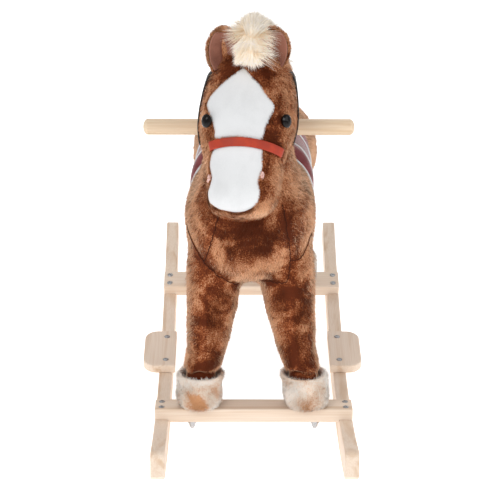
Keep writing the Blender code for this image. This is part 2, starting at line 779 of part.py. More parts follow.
def eye_profile(grow=0.0):
    radius, depth = EYE_WIDTH / 2 + grow, EYE_DEPTH + grow
    steps = [math.radians(d) for d in (25, 50, 75, 90)]
    dome = [(radius * math.sin(a), depth * 0.6 * math.cos(a)) for a in steps]
    return [(0.0, -depth * 0.4), (radius * 0.9, -depth * 0.35),
            *reversed(dome), (0.0, depth * 0.6)]


def build_eyes(gloss, head):
    for name, side in SIDES:
        stretch = Matrix.Diagonal((1, EYE_HEIGHT / EYE_WIDTH, 1, 1))
        turned("eye_" + name, eye_profile(), eye_place(side) @ stretch, gloss, facets=16)
        socket = turned(
            "cut_eye_" + name, eye_profile(2 * GAP), eye_place(side) @ stretch,
            facets=16, helper=True,
        )
        cut(head, socket)


def crest_rings(points, half_width, half_depth):
    """Rings along a line of (y, z) points in the horse's middle plane."""
    rings = []
    last = len(points) - 1
    for i, (y, z) in enumerate(points):
        before, after = points[max(i - 1, 0)], points[min(i + 1, last)]
        along = Vector((0, after[0] - before[0], after[1] - before[1])).normalized()
        normal = along.cross(X_AXIS)
        taper = 0.45 + 0.55 * math.sin(math.pi * (i + 0.6) / (last + 1.2))
        middle = Vector((head_x(y, z) if z > HANDLE_Z else body_x(y, z), y, z))
        rings.append(
            oval(middle, X_AXIS, normal, half_width * taper, half_depth * taper, 12, 2.0)
        )
    return rings


def build_mane(fur, *cutters):
    """The crest of long pile down the neck, and the forelock between the ears."""
    crest = ((-0.116, 0.578), (-0.092, 0.574), (-0.066, 0.556), (-0.049, 0.524),
             (-0.040, 0.490), (-0.036, 0.455), (-0.030, 0.425))
    mane = loft("mane", crest_rings(crest, MANE_WIDTH, 0.020), fur)
    lock = ((-0.126, 0.588), (-0.138, 0.594), (-0.153, 0.588), (-0.170, 0.572),
            (-0.180, 0.556))
    forelock = loft("forelock", crest_rings(lock, 0.017, 0.012), fur)
    cut(mane, *cutters)
    cut(forelock, *cutters)


def saddle_point(y, angle, lift):
    """On the torso's surface at y and angle, out by lift."""
    stations = smooth_stations(TORSO, 3)
    for near, far in zip(stations, stations[1:]):
        if near[0] <= y <= far[0]:
            t = (y - near[0]) / (far[0] - near[0])
            _, width, height, z = (a + (b - a) * t for a, b in zip(near, far))
            break
    c, s = math.cos(angle), math.sin(angle)
    power = 2 / PLUSH_ROUNDNESS
    u = math.copysign(abs(c) ** power, c) * (width + lift)
    v = math.copysign(abs(s) ** power, s) * (height + lift)
    return Vector((body_x(y, z) + u, y, z + v))


def build_saddle(cloth):
    """A padded arch over the back with a raised pommel and cantle."""
    rows, columns = 10, 26
    rings = []
    for i in range(rows + 1):
        share = i / rows
        y = SADDLE_FRONT + (SADDLE_BACK - SADDLE_FRONT) * share
        rise = POMMEL_RISE * max(0.0, 1 - 4 * share) ** 2
        rise += CANTLE_RISE * max(0.0, 4 * share - 3) ** 2
        outer, inner = [], []
        for k in range(columns + 1):
            angle = -SADDLE_WRAP + (math.pi + 2 * SADDLE_WRAP) * k / columns
            lift = SADDLE_PAD + rise * max(0.0, math.sin(angle)) ** 0.8
            outer.append(saddle_point(y, angle, lift))
            inner.append(saddle_point(y, angle, 3 * GAP))
        rings.append([*outer, *reversed(inner)])
    return loft("saddle", rings, cloth)


def build_tail(fur):
    """A plume that hangs from the top of the rump, clear of it."""
    rump = loft("cut_rump", torso_rings(TAIL_CLEARANCE), helper=True)
    rings = []
    for back, down, width, depth in smooth_stations(TAIL, 1):
        y, z = TAIL_ROOT_Y + back, TAIL_ROOT_Z - down
        middle = Vector((body_x(TAIL_ROOT_Y, TAIL_ROOT_Z), y, z))
        slant = Vector((0, 0.9, 0.44)).normalized() if down < 0.02 else Y_AXIS
        rings.append(oval(middle, X_AXIS, slant, width, depth, 12))
    cut(loft("tail", rings, fur), rump)


def main():
    clear_scene()
    wood = finish_material("pale wood", (0.80, 0.66, 0.50), 0.55)
    steel = finish_material("plated steel", (0.62, 0.62, 0.62), 0.30, 1.0)
    plush = finish_material("brown plush", (0.26, 0.09, 0.035), 0.95)
    cream = finish_material("cream plush", (0.80, 0.66, 0.50), 0.95)
    fur = finish_material("cream long pile", (0.84, 0.76, 0.64), 0.95)
    gloss = finish_material("black eye", (0.012, 0.010, 0.010), 0.08)
    leather = finish_material("red strap", (0.55, 0.07, 0.03), 0.6)
    black = finish_material("black strap", (0.01, 0.008, 0.006), 0.6)
    cloth = finish_material("saddle cloth", (0.26, 0.06, 0.05), 0.85)
    mauve = finish_material("ear lining", (0.30, 0.13, 0.09), 0.9)

    boards = build_rockers(wood)
    bars = build_crossbars(wood)
    rests = build_footrests(wood, boards)
    build_screws(steel, boards, bars, rests)
    posts, cutters, neck_post, neck_cutter = build_inner_frame(wood)
    build_leg_bolts(steel, bars, posts)
    handle_cutter = build_handle(wood, neck_post)

    clear = 2 * GAP
    torso_cutter = loft("cut_torso", torso_rings(clear), helper=True)
    head_cutter = loft("cut_head", head_rings(clear), helper=True)
    neck_shape = loft("cut_neck", neck_rings(clear), helper=True)
    strap_cutter = loft("cut_headstall", headstall_rings(clear), helper=True)

    torso = loft("torso_cover", torso_rings(), plush)
    cut(torso, *cutters.values(), neck_cutter)
    build_legs(plush, cream, torso_cutter, cutters)
    neck = loft("neck_cover", neck_rings(), plush)
    band_cutter = closed_band("cut_noseband", noseband_rings(clear), helper=True)
    cut(neck, torso_cutter, head_cutter, neck_cutter, handle_cutter, strap_cutter, band_cutter)
    head = loft("head_cover", head_rings(), plush)
    cut(head, neck_cutter)
    build_eyes(gloss, head)
    closed_band("noseband", noseband_rings(), leather)
    loft("headstall", headstall_rings(), black)
    ear_cutters = []
    for name, side in SIDES:
        ear = loft("ear_" + name, ear_rings(side), mauve)
        cut(ear, head_cutter, strap_cutter)
        ear_cutters.append(loft("cut_ear_" + name, ear_rings(side, clear), helper=True))
    saddle = build_saddle(cloth)
    cut(saddle, neck_shape)
    build_mane(fur, head_cutter, neck_shape, strap_cutter, torso_cutter, *ear_cutters)
    build_tail(fur)


main()
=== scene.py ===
"""Looks of the plush rocking horse: stuffed plush, long cream pile, straps, saddle and wood.

Metres, +Z up, the horse faces -Y and its left side is at +X. Every soft CAD solid is replaced
by a sewn, stuffed or combed piece made here; the wooden base and the steel keep their CAD
shapes and get materials.
"""

import math

import bmesh
import bpy
import numpy as np
from mathutils import Matrix, Vector
from mathutils.bvhtree import BVHTree
from mathutils.kdtree import KDTree


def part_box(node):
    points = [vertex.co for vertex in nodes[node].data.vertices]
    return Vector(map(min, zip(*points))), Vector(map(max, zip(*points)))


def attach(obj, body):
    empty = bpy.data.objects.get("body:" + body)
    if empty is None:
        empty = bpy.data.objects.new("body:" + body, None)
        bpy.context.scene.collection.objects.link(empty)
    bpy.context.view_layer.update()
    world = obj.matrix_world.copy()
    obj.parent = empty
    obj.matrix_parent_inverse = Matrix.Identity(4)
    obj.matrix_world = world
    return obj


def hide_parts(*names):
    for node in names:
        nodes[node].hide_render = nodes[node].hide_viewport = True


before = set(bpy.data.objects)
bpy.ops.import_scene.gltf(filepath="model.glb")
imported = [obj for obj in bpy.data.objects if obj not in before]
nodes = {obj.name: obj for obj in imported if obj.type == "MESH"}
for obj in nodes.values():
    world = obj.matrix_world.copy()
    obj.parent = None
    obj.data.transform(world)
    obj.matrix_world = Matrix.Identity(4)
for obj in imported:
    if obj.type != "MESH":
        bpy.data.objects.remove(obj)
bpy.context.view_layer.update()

# ------------------------------------------------------------------ places and sizes
SIDES = (("left", 1), ("right", -1))
ENDS = (("front", -1), ("rear", 1))
CAMERA_PLACE = (-0.02777, -1.95839, 1.33886)
CAMERA_PITCH, CAMERA_YAW, CAMERA_ROLL = 29.877, 0.684, -0.41  # degrees down, right, over
CAMERA_LENS = 118.08

POLL = Vector((0, -0.128, 0.5236))  # where the middle line of the face starts
FACE_SLOPE = math.radians(45.6)
FACE_DOWN = Vector((0, -math.cos(FACE_SLOPE), -math.sin(FACE_SLOPE)))
FACE_OUT = Vector((0, -math.sin(FACE_SLOPE), math.cos(FACE_SLOPE)))
HEAD_X, HEAD_Y, HEAD_Z = -0.0115, -0.190, 0.500
HEAD_TURN, HEAD_TILT = 0.080, 0.015
STRAP_LOW, STRAP_TOP = 0.078, -0.034  # along the face, at its ends and behind the ears
STRAP_HUG = 0.45  # how closely the headstall keeps to the sides of the head
STRAP_DROP = math.radians(5)  # how far below the widest line of the head it ends
LEG_TILT = math.radians(11.4)
LEG_TOP_Z = 0.235
X_AXIS, Y_AXIS, Z_AXIS = Vector((1, 0, 0)), Vector((0, 1, 0)), Vector((0, 0, 1))

VOXEL = 0.005
TUCK = 0.0042  # how far the backing cloth lies inside the outline that the pile reaches
SWELL_LIMIT = 0.0045
PILE_LENGTH, PILE_WIDTH = 0.0072, 0.0009
NAP_LIGHT_AND_SHADE_SHARE = 0.15  # how much the patches of nap tone, painted shade and painted highlight change the tone of the plush

# Patches of paler and darker plush, nap laid up and down mixed with painted light: the dark
# patches under the chin and down the fronts of the legs are painted shade, the pale ones on the
# chest and shoulders painted highlights where the nap catches the light. Middle, radius, tone.
NAP_LIGHT_AND_SHADE_PATCHES = (
    ((-0.005, -0.175, 0.350), 0.045, -1.1), ((0.000, -0.178, 0.315), 0.030, -0.7),
    ((-0.035, -0.172, 0.280), 0.024, 0.6), ((0.005, -0.175, 0.275), 0.026, 0.7),
    ((0.035, -0.170, 0.285), 0.022, 0.6), ((0.050, -0.150, 0.390), 0.035, 0.8),
    ((0.055, -0.162, 0.335), 0.018, -0.7), ((0.066, -0.142, 0.315), 0.018, 0.8),
    ((-0.072, -0.140, 0.335), 0.035, 0.45), ((-0.045, -0.176, 0.225), 0.026, -0.9),
    ((-0.052, -0.180, 0.150), 0.020, -0.7), ((-0.058, -0.180, 0.188), 0.016, 0.5),
    ((-0.092, -0.150, 0.200), 0.030, 0.4), ((0.055, -0.170, 0.238), 0.026, -0.8),
    ((0.066, -0.180, 0.190), 0.024, -0.8), ((0.062, -0.185, 0.140), 0.022, -0.9),
    ((0.030, -0.170, 0.160), 0.020, 0.4), ((0.088, -0.150, 0.210), 0.022, 0.5),
    ((-0.050, -0.175, 0.470), 0.030, 0.7), ((0.030, -0.150, 0.510), 0.022, -0.8),
    ((0.045, -0.160, 0.480), 0.020, 0.7), ((-0.040, -0.150, 0.520), 0.020, 0.4),
)

# Sewn seams of the plush, as points near the surface.
CHEST_SEAMS = (
    ((-0.046, -0.167, 0.372), (-0.050, -0.172, 0.349), (-0.058, -0.170, 0.318),
     (-0.066, -0.158, 0.285)),
    ((0.035, -0.163, 0.372), (0.040, -0.168, 0.352), (0.044, -0.169, 0.325),
     (0.047, -0.161, 0.289)),
    ((-0.091, -0.121, 0.320), (-0.082, -0.143, 0.306), (-0.066, -0.158, 0.285)),
    ((0.075, -0.125, 0.310), (0.061, -0.153, 0.290), (0.047, -0.161, 0.289)),
)
LEG_TOP_SEAMS = (
    ((-0.066, -0.158, 0.285), (-0.052, -0.164, 0.272), (-0.037, -0.162, 0.261),
     (-0.021, -0.150, 0.247)),
    ((0.047, -0.161, 0.289), (0.042, -0.165, 0.262), (0.026, -0.163, 0.257),
     (0.009, -0.155, 0.256)),
)
LEG_FRONT_SEAMS = (
    ((-0.066, -0.158, 0.285), (-0.068, -0.169, 0.207), (-0.069, -0.174, 0.164),
     (-0.073, -0.180, 0.120)),
    ((0.047, -0.161, 0.289), (0.046, -0.171, 0.208), (0.049, -0.174, 0.172),
     (0.055, -0.178, 0.125)),
)


def srgb(red, green, blue):
    def linear(value):
        value /= 255
        return value / 12.92 if value <= 0.04045 else ((value + 0.055) / 1.055) ** 2.4

    return (linear(red), linear(green), linear(blue), 1.0)


def head_x(y, z):
    return HEAD_X + HEAD_TURN * (y - HEAD_Y) + HEAD_TILT * (z - HEAD_Z)


def face_point(along, across=0.0, out=0.0):
    """Along the face from the poll, across it to the left, and out of it."""
    place = POLL + FACE_DOWN * along + FACE_OUT * out
    place.x = head_x(place.y, place.z) + across
    return place


# Patches of the face, nap tone mixed with painted light: the pale patches down the sides of the
# head are painted sheen, those at the chin the paler lip. Along, across and out of it, then
# radius and tone.
FACE_NAP_LIGHT_AND_SHADE = tuple((tuple(face_point(*place)), radius, tone) for place, radius, tone in (
    ((0.054, -0.053, 0.030), 0.016, 1.2), ((0.085, -0.054, 0.015), 0.018, 1.2),
    ((0.110, -0.047, 0.011), 0.016, 1.2), ((0.137, -0.043, 0.018), 0.014, 1.1),
    ((0.025, -0.050, 0.030), 0.016, 0.9), ((0.024, 0.052, 0.032), 0.016, 1.2),
    ((0.060, 0.056, 0.025), 0.014, 1.0), ((0.115, 0.046, 0.018), 0.015, 1.1),
    ((0.139, 0.042, 0.020), 0.014, 1.3), ((0.157, -0.034, 0.018), 0.012, 1.0),
    ((0.157, 0.035, 0.018), 0.012, 1.1), ((0.172, -0.019, 0.014), 0.011, 1.5),
    ((0.177, 0.002, 0.006), 0.012, 1.5), ((0.172, 0.022, 0.014), 0.011, 1.5),
    ((0.010, 0.022, 0.047), 0.012, -0.8), ((0.035, 0.036, 0.046), 0.011, -1.1),
    ((0.059, 0.042, 0.042), 0.010, -0.9), ((0.084, 0.034, 0.044), 0.012, -1.1),
    ((0.100, 0.036, 0.036), 0.010, -0.9), ((0.060, -0.043, 0.040), 0.008, -0.5),
))


# ------------------------------------------------------------------ materials
class Paint:
    """A Principled material whose nodes are added one after the other."""

    def __init__(self, name, **settings):
        self.material = bpy.data.materials.new(name)
        self.material.use_nodes = True
        self.tree = self.material.node_tree
        self.shader = self.tree.nodes["Principled BSDF"]
        for key, value in settings.items():
            socket = key.replace("_", " ").title().replace("Ior", "IOR")
            self.shader.inputs[socket].default_value = value
        self.place = self.add("ShaderNodeTexCoord").outputs["Object"]

    def add(self, kind, links=None, **settings):
        node = self.tree.nodes.new(kind)
        for key, value in settings.items():
            setattr(node, key, value)
        for key, value in (links or {}).items():
            if isinstance(value, bpy.types.NodeSocket):
                self.tree.links.new(value, node.inputs[key])
            else:
                node.inputs[key].default_value = value
        return node

    def stretched(self, scale, turn=(0, 0, 0)):
        links = {"Vector": self.place, "Scale": scale, "Rotation": turn}
        return self.add("ShaderNodeMapping", links).outputs["Vector"]

    def noise(self, scale, detail=2.0, at=None, distortion=0.0, roughness=0.5):
        links = {"Vector": at or self.place, "Scale": scale, "Detail": detail}
        links.update({"Distortion": distortion, "Roughness": roughness})
        return self.add("ShaderNodeTexNoise", links).outputs["Fac"]

    def ramp(self, value, *stops):
        """Colours by value; each stop is a place from 0 to 1 and an sRGB colour."""
        node = self.add("ShaderNodeValToRGB", {"Fac": value})
        elements = node.color_ramp.elements
        while len(elements) < len(stops):
            elements.new(0.5)
        for element, (place, colour) in zip(elements, stops):
            element.position = place
            element.color = srgb(*colour)
        return node.outputs["Color"]

    def span(self, value, low, high, to_low=0.0, to_high=1.0):
        links = {"Value": value, "From Min": low, "From Max": high}
        links.update({"To Min": to_low, "To Max": to_high})
        return self.add("ShaderNodeMapRange", links).outputs["Result"]

    def mix(self, share, first, second, blend_type="MIX"):
        node = self.add("ShaderNodeMix", data_type="RGBA", blend_type=blend_type)
        for socket, value in ((0, share), (6, first), (7, second)):
            if isinstance(value, bpy.types.NodeSocket):
                self.tree.links.new(value, node.inputs[socket])
            else:
                node.inputs[socket].default_value = value
        return node.outputs[2]

    def maths(self, operation, first, second):
        node = self.add("ShaderNodeMath", {0: first, 1: second}, operation=operation)
        return node.outputs["Value"]

    def colour(self, value):
        self.tree.links.new(value, self.shader.inputs["Base Color"])

    def rough(self, value):
        self.tree.links.new(value, self.shader.inputs["Roughness"])

    def bump(self, height, strength, distance):
        links = {"Height": height, "Strength": strength, "Distance": distance}
        normal = self.add("ShaderNodeBump", links).outputs["Normal"]
        self.tree.links.new(normal, self.shader.inputs["Normal"])


def wood_paint(name, along, light=(238, 220, 202), dark=(216, 186, 156)):
    """Pale planed birch with its grain along one axis: fine pores, soft figure, a few streaks."""
    paint = Paint(name, roughness=0.5, specular_ior_level=0.35)
    fine = [900.0, 900.0, 900.0]
    broad = [60.0, 60.0, 60.0]
    fine["xyz".index(along)] = 14.0
    broad["xyz".index(along)] = 3.0
    pores = paint.noise(1.0, 3.0, paint.stretched(fine))
    figure = paint.noise(1.0, 4.0, paint.stretched(broad), distortion=0.8)
    base = paint.ramp(figure, (0.30, dark), (0.50, light), (0.72, light))
    streaks = paint.span(pores, 0.35, 0.62)
    paint.colour(paint.mix(streaks, paint.mix(0.35, base, srgb(*dark)), base))
    paint.rough(paint.span(pores, 0.3, 0.7, 0.42, 0.62))
    paint.bump(pores, 0.18, 0.0004)
    return paint.material


def steel_paint():
    paint = Paint("plated steel", metallic=1.0)
    wear = paint.noise(900.0, 3.0)
    paint.colour(paint.ramp(wear, (0.3, (140, 140, 142)), (0.7, (214, 214, 216))))
    paint.rough(paint.span(wear, 0.3, 0.7, 0.25, 0.5))
    paint.bump(wear, 0.1, 0.0003)
    return paint.material


def plush_paint(name, dark, middle, light, rim, patch=30.0, contrast=0.12, depth=0.45):
    """Cut pile whose nap lies this way and that, so patches of it catch the light."""
    paint = Paint(name, roughness=0.85, specular_ior_level=0.12, sheen_weight=0.16,
                  sheen_roughness=0.45)
    paint.shader.inputs["Sheen Tint"].default_value = srgb(*rim)
    nap = paint.noise(patch, 3.0, distortion=0.9, roughness=0.55)
    grain = paint.noise(620.0, 2.0)
    tip = paint.add("ShaderNodeAttribute", attribute_name="tip").outputs["Fac"]
    # The nap attribute holds nap tone with painted shade and painted highlights; part of it
    # shifts the tone.
    nap_and_painted_light = paint.add("ShaderNodeAttribute", attribute_name="nap").outputs["Fac"]
    amount = paint.maths("ADD", nap, paint.span(grain, 0.25, 0.75, -contrast, contrast))
    amount = paint.maths("ADD", amount, paint.maths("MULTIPLY", nap_and_painted_light, NAP_LIGHT_AND_SHADE_SHARE))
    tone = paint.ramp(amount, (0.35, dark), (0.48, middle), (0.63, light))
    # Painted shade: each strand darkens towards the dark tone at its root, by depth there and not
    # at all at its tip, for the shade deep in the pile.
    shaded = paint.mix(paint.span(tip, 0.0, 1.0, depth, 0.0), tone, srgb(*dark))
    # Painted sheen: where the surface turns away from the view the colour goes towards the pale
    # rim colour, a light rim painted into the colour.
    edge = paint.add("ShaderNodeLayerWeight", {"Blend": 0.32}).outputs["Facing"]
    paint.colour(paint.mix(paint.span(edge, 0.42, 0.85, 0.0, 0.8), shaded, srgb(*rim)))
    paint.bump(grain, 0.5, 0.0012)
    return paint.material


def long_pile_paint(name, root, middle, tip_colour):
    # Painted light: a faint cream glow from the emission stands in for light shining through the
    # fibres.
    paint = Paint(name, roughness=0.6, specular_ior_level=0.25, emission_strength=0.11)
    paint.shader.inputs["Emission Color"].default_value = srgb(255, 232, 204)
    tip = paint.add("ShaderNodeAttribute", attribute_name="tip").outputs["Fac"]
    strand = paint.noise(420.0, 2.0)
    lock = paint.noise(70.0, 2.0)
    along = paint.maths("ADD", tip, paint.span(lock, 0.3, 0.7, -0.2, 0.25))
    base = paint.ramp(along, (0.0, root), (0.45, middle), (0.9, tip_colour))
    paint.colour(paint.mix(paint.span(strand, 0.35, 0.65, 0.0, 0.35), base, srgb(*root)))
    paint.bump(strand, 0.3, 0.0006)
    return paint.material


def velour_paint(name, colour, deep, sheen=0.3):
    """Short smooth pile, almost without grain."""
    paint = Paint(name, roughness=0.8, specular_ior_level=0.15, sheen_weight=sheen)
    grain = paint.noise(900.0, 2.0)
    cloud = paint.noise(40.0, 2.0)
    tone = paint.ramp(paint.mix(0.35, cloud, grain), (0.3, deep), (0.55, colour))
    paint.colour(tone)
    paint.bump(grain, 0.22, 0.0006)
    return paint.material


def cloth_paint(name, colour, deep, thread=0.0011):
    """Woven cloth: two crossing threads, with worn and shaded patches."""
    paint = Paint(name, roughness=0.82, specular_ior_level=0.2, sheen_weight=0.5)
    turns = 2 * math.pi / thread / 20
    at = paint.place
    bands = []
    for direction in ("DIAGONAL", "Y"):
        links = {"Vector": at, "Scale": turns, "Distortion": 0.4, "Detail": 1.0}
        node = paint.add("ShaderNodeTexWave", links, bands_direction=direction)
        bands.append(node.outputs["Fac"])
    weave = paint.maths("MULTIPLY", bands[0], bands[1])
    cloud = paint.noise(55.0, 3.0)
    tone = paint.ramp(cloud, (0.3, deep), (0.65, colour))
    paint.colour(paint.mix(paint.span(weave, 0.0, 1.0, 0.35, 0.0), tone, srgb(*deep)))
    paint.bump(weave, 0.4, 0.0006)
    return paint.material


def strap_paint(name, colour, deep, rough=0.5):
    """Grained strap: fine pebbles over a cloudy tone."""
    paint = Paint(name, specular_ior_level=0.4)
    pebbles = paint.add(
        "ShaderNodeTexVoronoi", {"Vector": paint.place, "Scale": 900.0}
    ).outputs["Distance"]
    cloud = paint.noise(60.0, 3.0)
    tone = paint.ramp(cloud, (0.3, deep), (0.6, colour))
    paint.colour(paint.mix(paint.span(pebbles, 0.1, 0.7, 0.0, 0.25), tone, srgb(*deep)))
    paint.rough(paint.span(cloud, 0.3, 0.7, rough - 0.08, rough + 0.1))
    paint.bump(pebbles, 0.25, 0.0005)
    return paint.material


def eye_paint():
    paint = Paint("black glass eye", roughness=0.05, specular_ior_level=0.22)
    depth = paint.noise(180.0, 2.0)
    paint.colour(paint.ramp(depth, (0.35, (5, 4, 5)), (0.75, (20, 11, 8))))
    return paint.material


# ------------------------------------------------------------------ meshes
def new_object(name, mesh, material=None):
    obj = bpy.data.objects.new(name, mesh)
    bpy.context.scene.collection.objects.link(obj)
    if material:
        mesh.materials.clear()
        mesh.materials.append(material)
    return obj


def from_faces(name, points, faces, material=None, smooth=True):
    mesh = bpy.data.meshes.new(name)
    mesh.from_pydata([tuple(p) for p in points], [], faces)
    mesh.update()
    if smooth:
        mesh.shade_smooth()
    return new_object(name, mesh, material)


def outward(obj):
    """Turns every face of a closed mesh outwards."""
    bm = bmesh.new()
    bm.from_mesh(obj.data)
    bmesh.ops.recalc_face_normals(bm, faces=bm.faces)
    bm.to_mesh(obj.data)
    bm.free()
    return obj


def apply_modifiers(obj):
    evaluated = obj.evaluated_get(bpy.context.evaluated_depsgraph_get())
    mesh = bpy.data.meshes.new_from_object(evaluated)
    obj.modifiers.clear()
    obj.data = mesh
    return obj


def subdivided(obj, levels=1):
    modifier = obj.modifiers.new("Fine", "SUBSURF")
    modifier.levels = modifier.render_levels = levels
    apply_modifiers(obj)
    obj.data.shade_smooth()
    return obj


def coordinates(mesh):
    values = np.empty(len(mesh.vertices) * 3)
    mesh.vertices.foreach_get("co", values)
    return values.reshape(-1, 3)


def vertex_normals(mesh):
    values = np.empty(len(mesh.vertices) * 3, np.float32)
    mesh.vertex_normals.foreach_get("vector", values)
    return values.reshape(-1, 3).astype(float)


def move_points(mesh, values):
    mesh.vertices.foreach_set("co", values.ravel())
    mesh.update()


def surface_of(obj):
    mesh = obj.data
    return BVHTree.FromPolygons(
        [v.co[:] for v in mesh.vertices], [p.vertices[:] for p in mesh.polygons]
    )


def grid_faces(rows, columns, closed=False):
    """Quads of a grid of rows of points; closed joins each row's last point to its first."""
    faces = []
    for i in range(rows - 1):
        for j in range(columns if closed else columns - 1):
            k = (j + 1) % columns
            faces.append((i * columns + j, i * columns + k,
                          (i + 1) * columns + k, (i + 1) * columns + j))
    return faces


def smooth_line(points, count):
    """Evenly many points on a smooth curve through the given ones."""
    points = [Vector(p) for p in points]
    padded = [points[0] * 2 - points[1], *points, points[-1] * 2 - points[-2]]
    made = []
    for i in range(count):
        place = i / (count - 1) * (len(points) - 1)
        k = min(int(place), len(points) - 2)
        t = place - k
        a, b, c, d = padded[k:k + 4]
        made.append(0.5 * (2 * b + (c - a) * t + (2 * a - 5 * b + 4 * c - d) * t**2
                           + (3 * b - a - 3 * c + d) * t**3))
    return made


def ripple(points, size, seed):
    """A smooth pseudo-random value from -1 to 1 at each point, wandering over about size."""
    rng = np.random.default_rng(seed)
    total = np.zeros(len(points))
    for _ in range(5):
        direction = rng.normal(size=3)
        direction /= np.linalg.norm(direction)
        total += np.sin(points @ direction * 2 * math.pi / size * rng.uniform(0.7, 1.4)
                        + rng.uniform(0, 2 * math.pi))
    return total / 3


def nap_light_and_shade(points):
    """How pale, up to 1, or dark, down to -1, the plush is at each point: nap tone with painted
    shade and painted highlights.
    """
    tone = 0.35 * ripple(points, 0.09, 5)
    for middle, radius, value in NAP_LIGHT_AND_SHADE_PATCHES + FACE_NAP_LIGHT_AND_SHADE:
        distance = np.linalg.norm(points - np.array(middle), axis=1)
        tone += value * np.exp(-((distance / radius) ** 2))
    return np.clip(tone, -1.4, 1.4)


def set_attribute(mesh, name, values):
    attribute = mesh.attributes.new(name, "FLOAT", "POINT")
    attribute.data.foreach_set("value", np.asarray(values, np.float32))


# ------------------------------------------------------------------ stuffed plush
def reskinned(obj, voxel, rounds):
    """Remeshes a solid evenly, drops the pockets inside it, and smooths it."""
    modifier = obj.modifiers.new("Skin", "REMESH")
    modifier.mode = "VOXEL"
    modifier.voxel_size = voxel
    apply_modifiers(obj)
    keep_outer_skin(obj)
    modifier = obj.modifiers.new("Even", "SMOOTH")
    modifier.factor, modifier.iterations = 0.5, rounds
    return apply_modifiers(obj)


def joined_solid(name, members):
    """One closed skin round several CAD solids that fill each other's hollows."""
    bm = bmesh.new()
    for member in members:
        bm.from_mesh(nodes[member].data)
    bmesh.ops.remove_doubles(bm, verts=bm.verts, dist=1e-6)
    mesh = bpy.data.meshes.new(name)
    bm.to_mesh(mesh)
    bm.free()
    return reskinned(new_object(name, mesh), VOXEL, 10)


def keep_outer_skin(obj):
    """Drops the closed pockets inside, and keeps the island with the most points."""
    bm = bmesh.new()
    bm.from_mesh(obj.data)
    left = set(bm.verts)
    islands = []
    while left:
        island, front = set(), [left.pop()]
        while front:
            vert = front.pop()
            island.add(vert)
            for edge in vert.link_edges:
                other = edge.other_vert(vert)
                if other in left:
                    left.discard(other)
                    front.append(other)
        islands.append(island)
    islands.sort(key=len)
    for island in islands[:-1]:
        bmesh.ops.delete(bm, geom=list(island), context="VERTS")
    bm.to_mesh(obj.data)
    bm.free()


def seam_tree(seams, surface):
    """Every seam laid on the surface, as a search tree of close points."""
    points = []
    for seam in seams:
        for point in smooth_line(seam, 60):
            points.append(surface.find_nearest(point)[0])
    tree = KDTree(len(points))
    for index, point in enumerate(points):
        tree.insert(point, index)
    tree.balance()
    return tree


def seam_distance(points, tree):
    return np.array([tree.find(point)[2] for point in points])


def stuff(obj, pinned, pressure=4.0, limit=SWELL_LIMIT):
    """Blows the sewn cover up with its seams held, and caps how far each point moves."""
    before = coordinates(obj.data)
    group = obj.vertex_groups.new(name="sewn")
    group.add([int(i) for i in np.nonzero(pinned)[0]], 1.0, "REPLACE")
    cloth = obj.modifiers.new("Cloth", "CLOTH")
    settings = cloth.settings
    settings.quality = 4
    settings.mass = 0.3
    settings.air_damping = 2.0
    settings.tension_stiffness = settings.compression_stiffness = 12.0
    settings.shear_stiffness = 6.0
    settings.bending_stiffness = 0.3
    settings.use_pressure = True
    settings.uniform_pressure_force = pressure
    settings.effector_weights.gravity = 0.0
    settings.vertex_group_mass = "sewn"
    cloth.collision_settings.use_collision = False
    scene = bpy.context.scene
    for number in range(1, 21):
        scene.frame_set(number)
    apply_modifiers(obj)
    scene.frame_set(1)
    move = coordinates(obj.data) - before
    length = np.linalg.norm(move, axis=1, keepdims=True)
    move *= np.minimum(1.0, limit / np.maximum(length, 1e-9))
    move_points(obj.data, before + move)
    return obj


def press_seams(obj, tree, depth=0.0014, width=0.006):
    """Pulls the surface in along the stitching."""
    mesh = obj.data
    points, normals = coordinates(mesh), vertex_normals(mesh)
    near = np.clip(1 - seam_distance(points, tree) / width, 0, 1)
    move_points(mesh, points - normals * (depth * near**1.5)[:, None])


# ------------------------------------------------------------------ pile
def strands_mesh(name, roots, directions, bends, sides, lengths, width, segments, normals,
                 material, **attributes):
    """Flat tapering strands from roots along directions, curving towards bends.

    Its sides are turned so that every strand shows its front outwards. Each of the
    attributes is a value for each strand, which all its points get.
    """
    count = len(roots)
    facing = (np.cross(sides, directions) * normals).sum(1, keepdims=True)
    sides = np.where(facing < 0, -sides, sides)
    points, tips, shading = [], [], []
    for k in range(segments):
        t = k / segments
        centre = roots + directions * (lengths * t)[:, None] + bends * (lengths * t * t)[:, None]
        half = sides * (width / 2 * (1 - t) ** 0.6)
        points += [centre - half, centre + half]
        tips += [np.full(count, t)] * 2
        shading += [normals] * 2
    points.append(roots + (directions + bends) * lengths[:, None])
    tips.append(np.ones(count))
    shading.append(normals)
    index = np.arange(count)
    faces = []
    for k in range(segments - 1):
        a, b = index + 2 * k * count, index + (2 * k + 1) * count
        faces += np.stack([a, b, b + 2 * count, a + 2 * count], 1).tolist()
    a, b = index + 2 * (segments - 1) * count, index + (2 * segments - 1) * count
    faces += np.stack([a, b, index + 2 * segments * count], 1).tolist()
    mesh = bpy.data.meshes.new(name)
    mesh.from_pydata(np.concatenate(points).tolist(), [], faces)
    set_attribute(mesh, "tip", np.concatenate(tips))
    for key, values in attributes.items():
        set_attribute(mesh, key, np.tile(values, 2 * segments + 1))
    mesh.shade_smooth()
    mesh.normals_split_custom_set_from_vertices(np.concatenate(shading).tolist())
    return new_object(name, mesh, material)


def unit(values):
    return values / np.maximum(np.linalg.norm(values, axis=1, keepdims=True), 1e-9)


